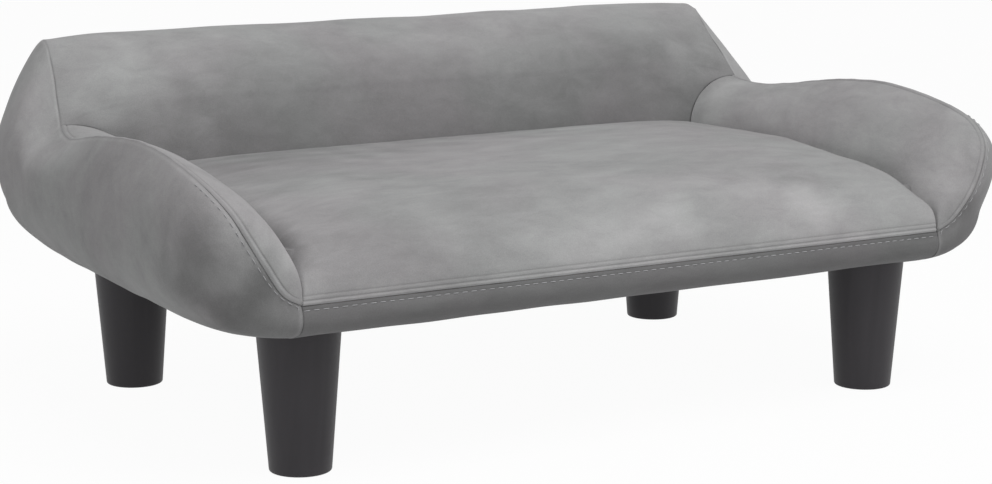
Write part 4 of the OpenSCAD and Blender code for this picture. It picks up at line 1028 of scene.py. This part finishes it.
class SOFA_OT_back_pad(bpy.types.Operator):
    """Makes the backrest, one panel from the seat over the top and down the rear"""
    bl_idname = "sofa.back_pad"
    bl_label = "Back pad"
    spots = ((-0.29, 0.115, 0.235, 0.045, 1.0), (-0.25, 0.13, 0.26, 0.04, 0.4), (0.275, 0.10, 0.225, 0.025, 0.9),
             (0.20, 0.105, 0.235, 0.03, -0.4), (0.08, 0.10, 0.235, 0.035, 0.2), (-0.17, 0.09, 0.21, 0.03, -0.3))
    arch_rows, end_rows, rear_rows, columns, seed = 50, 31, 110, 245, 300
    corner_ease, tuck_at_seam = 0.045, 0.0003

    def execute(self, context):
        s, body = sizes_and_body(context)
        parts = (crowded(self.arch_rows, 0.8, 0), np.linspace(0, 1, self.end_rows),
                 np.linspace(0, 1, self.rear_rows))
        u = 2 * crowded(self.columns, 0.85, 0.85) - 1
        corners = [mirrored(body.junction, side) for _, side in SIDES]
        grid = blown_out(body.back_panel(*parts, u), -1, s, corners, self.corner_ease)
        normals = normals_of(grid, -1)
        left, right, foot, hem = edge_runs(grid)
        row = body.back_rows(*parts)
        # Above row 6 the panel is sewn to the ends. Below, it is tucked in behind the arms, nearly plain there
        sewn = np.clip((row - 5.2) / 0.8, 0, 1)[:, None]
        edges = [(left, foot, s.seam_roll, 1.5), (right, foot, s.seam_roll, 1.5), (hem, left, s.seam_roll, 0.6)]
        outer, seam_shade = soft_relief(grid, normals, edges, s, self.seed)
        clear = np.maximum(sewn, np.clip(np.minimum(left, right) / 0.02, 0, 1))[..., None]
        outer = lerp(grid + (outer - grid) * 0.2, outer, clear)
        outer, seam_shade = self.tucked_in(outer, seam_shade, (1 - sewn[:, 0]) * s.tuck + self.tuck_at_seam, s.tuck)
        inner = self.inside(outer, np.concatenate([np.linspace(-0.4, -0.1, TUCK_COLUMNS), row]), grid[-1, 0, 2])
        # The spot mark holds the spots and the painted light and shade by the rise; the seams carry painted shade
        pad = closed_pad("back_pad", outer, inner, "velvet_back", -1,
                         {"seam_shade": seam_shade, "pile_and_painted_light": pile_and_painted_light(outer, self.spots) + self.painted_light_by_rise(outer, body)})
        settle(pad, ("back_cover", "back_foam"))
        return {"FINISHED"}

    @staticmethod
    def inside(outer, row, hem_z):
        """Inner face, by straight steps between five rows: under the seat deck, up the front panel, over the
        back board and down its rear to just above the hem"""
        panel, board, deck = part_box("back_panel"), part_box("back_board"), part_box("seat_deck")[1].z
        stops = (-1, 0, 9, 11, 17)
        y = np.interp(row, stops, (panel[0].y - 0.004, panel[0].y, board[0].y - 0.024, board[1].y, board[1].y))
        z = np.interp(row, stops, (deck - 0.004, deck, board[1].z, board[1].z, hem_z + 0.0012))
        zero = 0 * outer[..., 0]
        return np.stack([outer[..., 0] * 0.98, y[:, None] + zero, z[:, None] + zero], axis=-1)

    @staticmethod
    def painted_light_by_rise(points, body):
        """Painted light and shade on the front of the backrest: painted shade at the seat that turns to painted
        light at the top, by the square of the rise"""
        level = (points[..., 2] - body.seat_z) / (body.s.underside + body.s.back_rise - body.seat_z)
        ahead = np.clip((body.half_d - 0.15 * body.s.back_thickness - points[..., 1]) / 0.03, 0, 1)
        return ahead * lerp(-0.9, 1.2, np.clip(level, 0, 1) ** 2)

    @staticmethod
    def tucked_in(outer, seam_shade, sides, foot):
        """The panel tucked in behind the arms at both ends and behind the seat at its foot"""
        outer = tucked(tucked(outer, sides)[:, ::-1], sides)[:, ::-1]
        outer = tucked(outer.transpose(1, 0, 2)[:, ::-1], foot)[:, ::-1].transpose(1, 0, 2)
        return outer, np.pad(seam_shade, ((TUCK_COLUMNS, 0), (TUCK_COLUMNS, TUCK_COLUMNS)), mode="edge")


class SOFA_OT_arm_pads(bpy.types.Operator):
    """Makes the inner panels of the two arms with the welt along their seam"""
    bl_idname = "sofa.arm_pads"
    bl_label = "Arm pads"
    spots = ((0.282, -0.208, 0.167, 0.020, 0.6), (0.274, 0.079, 0.203, 0.020, 0.8))
    rows, columns, seed, line_depth = 300, 110, 400, 0.0006

    def execute(self, context):
        s, body = sizes_and_body(context)
        # The rows start just behind the point at which the seam and the crease meet
        place, t = lerp(0.012, 1, crowded(self.rows, 0.6, 0.3)), crowded(self.columns, 0.85, 0.7)
        right_grid = blown_out(body.arm_panel(place, t), 1, s)
        for name, side in SIDES:
            grid = mirrored(right_grid, side)
            normals = normals_of(grid, side)
            seam, _, front, arch = edge_runs(grid)
            edges = [(seam, front, s.seam_roll, 0.8), (arch, seam, s.arch_roll, 0.3)]
            outer, seam_shade = soft_relief(grid, normals, edges, s, self.seed + 50 * side)
            fade = np.clip(front / 0.02, 0, 1)
            welt = bump_at(seam, s.welt_width * 0.5, s.welt_width * 0.28) * fade
            line = bump_at(seam, s.welt_width, LINE_WIDTH) * fade
            outer += normals * (s.welt_rise * welt - self.line_depth * line)[..., None]
            # Painted shade in the sunken seam and in the line beside it, mostly left out at the arch
            seam_shade = np.maximum(seam_shade * (1 - 0.7 * bump_at(arch, 0, 0.002)), 0.6 * line)
            outer = tucked(outer, np.minimum(1.5 * s.tuck, 0.4 * seam[:, -1]))
            seam_shade = np.pad(seam_shade, ((0, 0), (0, TUCK_COLUMNS)), mode="edge")
            # Where the panel is narrow it is thin as well, so that its two faces stay apart
            depth = np.minimum(s.pad_thickness, 0.3 * (seam[:, -1:] + 0.001))
            inner = outer - normals_of(outer, side) * depth[..., None]
            pad = closed_pad(f"arm_pad_{name}", outer, inner, f"velvet_arm_{name}", side,
                             {"seam_shade": seam_shade, "pile_and_painted_light": pile_and_painted_light(mirrored(outer, side), self.spots)})
            settle(pad, (f"arm_inner_cover_{name}", f"arm_foam_{name}"))
        return {"FINISHED"}


class SOFA_OT_end_pads(bpy.types.Operator):
    """Makes the end panels: nose of the arm, outside, end of the backrest and hem in one"""
    bl_idname = "sofa.end_pads"
    bl_label = "End pads"
    # The two dark spots at the nose are painted shade; the pale one brightens the rear top
    spots = ((0.33, -0.195, 0.15, 0.040, -0.9), (0.295, -0.21, 0.115, 0.040, -1.6), (0.33, 0.15, 0.25, 0.05, 0.3))
    seam_rows, columns, flat_columns, ridge_steps, lap, seed = (300, 60, 300), 66, 8, 30, 60, 500
    nose = np.arange(-8, 120)

    def execute(self, context):
        s, body = sizes_and_body(context)
        rows, t = body.loop(self.seam_rows), crowded(self.columns, 0.85, 0)
        step = np.round(np.clip(rows[:, 3], 0, 1) * self.ridge_steps).astype(int)
        swell = self.blown_ring(self.smoothed(body.end_panel(rows, t), t), s)
        ridge = body.ridge(step / self.ridge_steps)[:, None]
        middle = np.linspace(0, 1, self.flat_columns + 1)[None, 1:, None]
        right_grid = np.concatenate([swell, lerp(swell[:, -1:], ridge, middle)], axis=1)
        for name, side in SIDES:
            grid = mirrored(right_grid, side)
            away = unit(grid - (mirrored(ridge, side) - np.array([side * 0.03, 0, 0])))
            normals = normals_of(grid, -side, ring=True)
            # Normals are turned outward, and those of the flat middle point straight to the side
            normals *= np.where((normals * away).sum(axis=2, keepdims=True) < 0, -1, 1)
            normals[:, -self.flat_columns - 1:] = (side, 0, 0)
            seam = run_across(grid)
            edges = [(seam, run_along(grid[:, 0])[:, None] + 0 * seam, s.seam_roll, 0.4)]
            outer, seam_shade = soft_relief(grid, normals, edges, s, self.seed + 50 * side)
            inner = grid - away * np.minimum(s.pad_thickness, 0.5 * seam + 0.001)[..., None]
            # A pale line 2 mm from the seam is a painted highlight along it
            pile_and_light_mark = pile_and_painted_light(mirrored(outer, side), self.spots) + 0.5 * bump_at(seam, 0.002, 0.0014)
            pad = self.closed_end(f"end_pad_{name}", outer, inner, step, side, f"velvet_end_{name}",
                                  {"seam_shade": seam_shade, "pile_and_painted_light": pile_and_light_mark})
            settle(pad, (f"side_cover_{name}",))
            add_stitches(f"stitches_end_{name}", outer, normals, seam, self.nose)
        return {"FINISHED"}

    def blown_ring(self, swell, s):
        """The ring of rows blown out with its first rows lapped over its end, where both turns are blended"""
        count, lap = len(swell), self.lap
        blown = blown_out(np.vstack([swell, swell[:lap]]), -1, s)
        share = smoothstep(np.linspace(0, 1, lap)[:, None, None])
        return np.vstack([lerp(blown[count:], blown[:lap], share), blown[lap:count]])

    @staticmethod
    def smoothed(grid, t):
        """The grid with its rows averaged 80 times with their neighbours between the seam and the flat middle,
        which takes out the folds that start at the corners of the seam, and 900 times more near the nose's
        corner."""
        share = (np.clip(run_across(grid) / 0.03, 0, 1) * np.clip((1 - t) / 0.15, 0, 1)[None])[..., None]
        row = np.arange(len(grid))
        nose = np.clip(1.2 - np.minimum(row, len(grid) - row) / 60, 0, 1)[:, None, None]
        for near, rounds in ((1, 80), (nose, 900)):
            for _ in range(rounds):
                mean = (np.roll(grid, 1, 0) + np.roll(grid, -1, 0)) / 2
                grid = lerp(grid, mean, 0.5 * near * share)
        return grid

    @staticmethod
    def closed_end(name, outer, inner, step, side, material, marks):
        """Closed pad between two nested bowls that share their rim. The last column lies on the ridge, where
        all rows of the same step have one point."""
        rows, columns = outer.shape[:2]
        count, i = rows * columns, np.arange(rows)
        k = (i + 1) % rows
        place = np.arange(count).reshape(rows, columns)
        _, first, which = np.unique(step, return_index=True, return_inverse=True)
        place[:, -1] = place[first[which], -1]
        skin = place.reshape(-1)[grid_quads(rows, columns, ring=True)]
        narrow = skin[:, 2] == skin[:, 3]
        fans, skin = skin[narrow][:, :3], skin[~narrow]
        rim = np.column_stack([i * columns, k * columns, k * columns + count, i * columns + count])
        quads = np.vstack([skin, skin[:, ::-1] + count, rim[:, ::-1]])
        fans = np.vstack([fans, fans[:, ::-1] + count])
        if side > 0:
            quads, fans = quads[:, ::-1], fans[:, ::-1]
        used = np.unique(np.concatenate([quads.reshape(-1), fans.reshape(-1)]))
        points = np.vstack([outer.reshape(-1, 3), inner.reshape(-1, 3)])[used]
        both = {mark: np.concatenate([v.reshape(-1), v.reshape(-1)])[used] for mark, v in marks.items()}
        return add_piece(name, points, np.searchsorted(used, quads), bpy.data.materials[material],
                         np.searchsorted(used, fans), both)


class SOFA_OT_frame_finish(bpy.types.Operator):
    """Gives the wooden frame, its screws and nuts and the dust cover their finishes"""
    bl_idname = "sofa.frame_finish"
    bl_label = "Frame finish"

    def execute(self, context):
        c = context.scene.sofa_colours
        plywood = wood_material("light_plywood", c.plywood, 26, 0.5)
        give(("base_board", "front_rail", "rear_rail", "side_rail_left", "side_rail_right", "corner_blocks",
              "seat_deck", "arm_board_left", "arm_board_right", "back_board", "back_braces", "back_top_rail"),
             plywood)
        give(("back_panel",), wood_material("brown_hardboard", c.hardboard, 70, 0.42))
        give(("dust_cover",), cloth_material(c.dust_cloth))
        give(("frame_screws", "tee_nuts"), steel_material(c.steel))
        return {"FINISHED"}


class SOFA_OT_leg_finish(bpy.types.Operator):
    """Gives the legs their lacquer and the leg bolts their zinc"""
    bl_idname = "sofa.leg_finish"
    bl_label = "Leg finish"

    def execute(self, context):
        corners = ("front_left", "front_right", "rear_left", "rear_right")
        give([f"leg_{corner}" for corner in corners], lacquer_material(context.scene.sofa_colours.legs))
        give([f"leg_bolt_{corner}" for corner in corners], bpy.data.materials["bright_zinc"])
        return {"FINISHED"}


class SOFA_OT_cloths(bpy.types.Operator):
    """Mixes the velvets, whose pile lies another way on each panel and whose tones paint light and shade on it,
    and the thread
    """
    bl_idname = "sofa.cloths"
    bl_label = "Velvet and thread"

    def execute(self, context):
        c = context.scene.sofa_colours
        # Each panel's tone is painted light and shade
        velvet("velvet_seat", c, (0.5, 1.1, 1.1), (0, 0, 0.06), 1.0)
        velvet("velvet_band", c, (0.35, 1, 1), (0, 0, 0), c.band_painted_shade)
        velvet("velvet_back", c, (0.6, 1, 1), (0, 0.10, 0), c.back_painted_shade)
        velvet("velvet_arm_left", c, (1, 0.7, 1), (0.3, 0, 0), c.arm_painted_light)
        velvet("velvet_arm_right", c, (1, 0.7, 1), (0.6, 0.2, 0), c.arm_painted_light)
        velvet("velvet_end_left", c, (1, 0.8, 0.7), (0.5, 0, 0), c.end_painted_light)
        velvet("velvet_end_right", c, (1, 0.8, 0.7), (0.7, 0, 0), c.end_painted_light)
        thread_material(c.thread)
        return {"FINISHED"}


class SOFA_OT_studio(bpy.types.Operator):
    """Sets up the pale floor, the white surroundings, two soft lamps and the camera"""
    bl_idname = "sofa.studio"
    bl_label = "Studio"

    def execute(self, context):
        st = context.scene.sofa_studio
        self.floor(st)
        self.sky(context, st)
        self.lamp("key_lamp", (0.0, -1.0, 2.05), (0, 0, 0.15), 1.5, st.key_power)
        self.lamp("fill_lamp", (1.4, -1.8, 0.9), (0, 0, 0.15), 1.4, st.fill_power)
        camera = bpy.data.objects.new("camera", bpy.data.cameras.new("camera"))
        camera.location = st.camera_place
        camera.rotation_euler = (math.pi / 2 - st.camera_dip, 0, -st.camera_turn)
        camera.data.lens = st.camera_lens
        camera.data.sensor_width = 36
        context.scene.collection.objects.link(camera)
        context.scene.camera = camera
        context.scene.view_settings.view_transform = "Standard"
        return {"FINISHED"}

    @staticmethod
    def seen_plainly(tree):
        """1 for camera, glossy and transmission rays, else 0"""
        path = add_node(tree, "ShaderNodeLightPath")
        seen = reckon(tree, "MAXIMUM", path.outputs["Is Camera Ray"], path.outputs["Is Glossy Ray"])
        return reckon(tree, "MAXIMUM", seen, path.outputs["Is Transmission Ray"])

    def floor(self, st):
        """Pale floor that keeps the object's shadow and is mostly white to the camera"""
        half, z = 12.0, -0.0002
        points = np.array([[-half, -half, z], [half, -half, z], [half, half, z], [-half, half, z]])
        material, tree, shader = new_material("studio_floor")
        dress(tree, shader, (0.78, 0.78, 0.78, 1), 0.95)
        shader.inputs["Specular IOR Level"].default_value = 0.0
        white = add_node(tree, "ShaderNodeEmission", Color=(1, 1, 1, 1), Strength=1.0)
        mix = add_node(tree, "ShaderNodeMixShader")
        share = reckon(tree, "MULTIPLY", self.seen_plainly(tree), st.floor_white)
        for socket, value in zip(mix.inputs, (share, shader.outputs[0], white.outputs[0])):
            feed(tree, socket, value)
        feed(tree, tree.nodes["Material Output"].inputs["Surface"], mix.outputs[0])
        floor = add_piece("studio_floor", points, np.array([[0, 1, 2, 3]]), material)

    def sky(self, context, st):
        """Even light from all round, seen as plain white"""
        world = bpy.data.worlds.new("studio_sky")
        world.use_nodes = True
        tree = world.node_tree
        sky = tree.nodes["Background"]
        sky.inputs["Color"].default_value = (1, 1, 1, 1)
        feed(tree, sky.inputs["Strength"],
             scaled(tree, self.seen_plainly(tree), 1 - st.sky_strength, st.sky_strength))
        context.scene.world = world

    @staticmethod
    def lamp(name, place, target, size, power):
        """Square lamp that faces a target"""
        data = bpy.data.lights.new(name, "AREA")
        data.shape, data.size, data.energy = "SQUARE", size, power
        lamp = bpy.data.objects.new(name, data)
        away = np.array(place) - np.array(target)
        lamp.location = place
        lamp.rotation_euler = (math.acos(away[2] / np.linalg.norm(away)), 0, math.atan2(away[0], -away[1]))
        bpy.context.scene.collection.objects.link(lamp)


class SOFA_PT_maker(bpy.types.Panel):
    """Lists the sizes, the colours, the studio and the steps"""
    bl_label = "Pet Sofa"
    bl_idname = "SOFA_PT_maker"
    bl_space_type = "VIEW_3D"
    bl_region_type = "UI"
    bl_category = "Pet Sofa"

    def draw(self, context):
        for place, group in GROUPS.items():
            column = self.layout.column(align=True)
            for name in group.__annotations__:
                column.prop(getattr(context.scene, place), name)
        for step in STEPS:
            self.layout.operator(step.bl_idname)


STEPS = (SOFA_OT_cloths, SOFA_OT_seat_pad, SOFA_OT_front_band, SOFA_OT_back_pad, SOFA_OT_arm_pads,
         SOFA_OT_end_pads, SOFA_OT_frame_finish, SOFA_OT_leg_finish, SOFA_OT_studio)
GROUPS = {"sofa_sizes": SofaSizes, "sofa_colours": SofaColours, "sofa_studio": SofaStudio}
CLASSES = (*GROUPS.values(), *STEPS, SOFA_PT_maker)


def register():
    for made in CLASSES:
        bpy.utils.register_class(made)
    for place, group in GROUPS.items():
        setattr(bpy.types.Scene, place, bpy.props.PointerProperty(type=group))


def unregister():
    for place in GROUPS:
        delattr(bpy.types.Scene, place)
    for made in reversed(CLASSES):
        bpy.utils.unregister_class(made)


def main():
    """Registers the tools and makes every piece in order"""
    register()
    bpy.ops.sofa.cloths()
    bpy.ops.sofa.seat_pad()
    bpy.ops.sofa.front_band()
    bpy.ops.sofa.back_pad()
    bpy.ops.sofa.arm_pads()
    bpy.ops.sofa.end_pads()
    bpy.ops.sofa.frame_finish()
    bpy.ops.sofa.leg_finish()
    bpy.ops.sofa.studio()


if __name__ == "__main__":
    main()
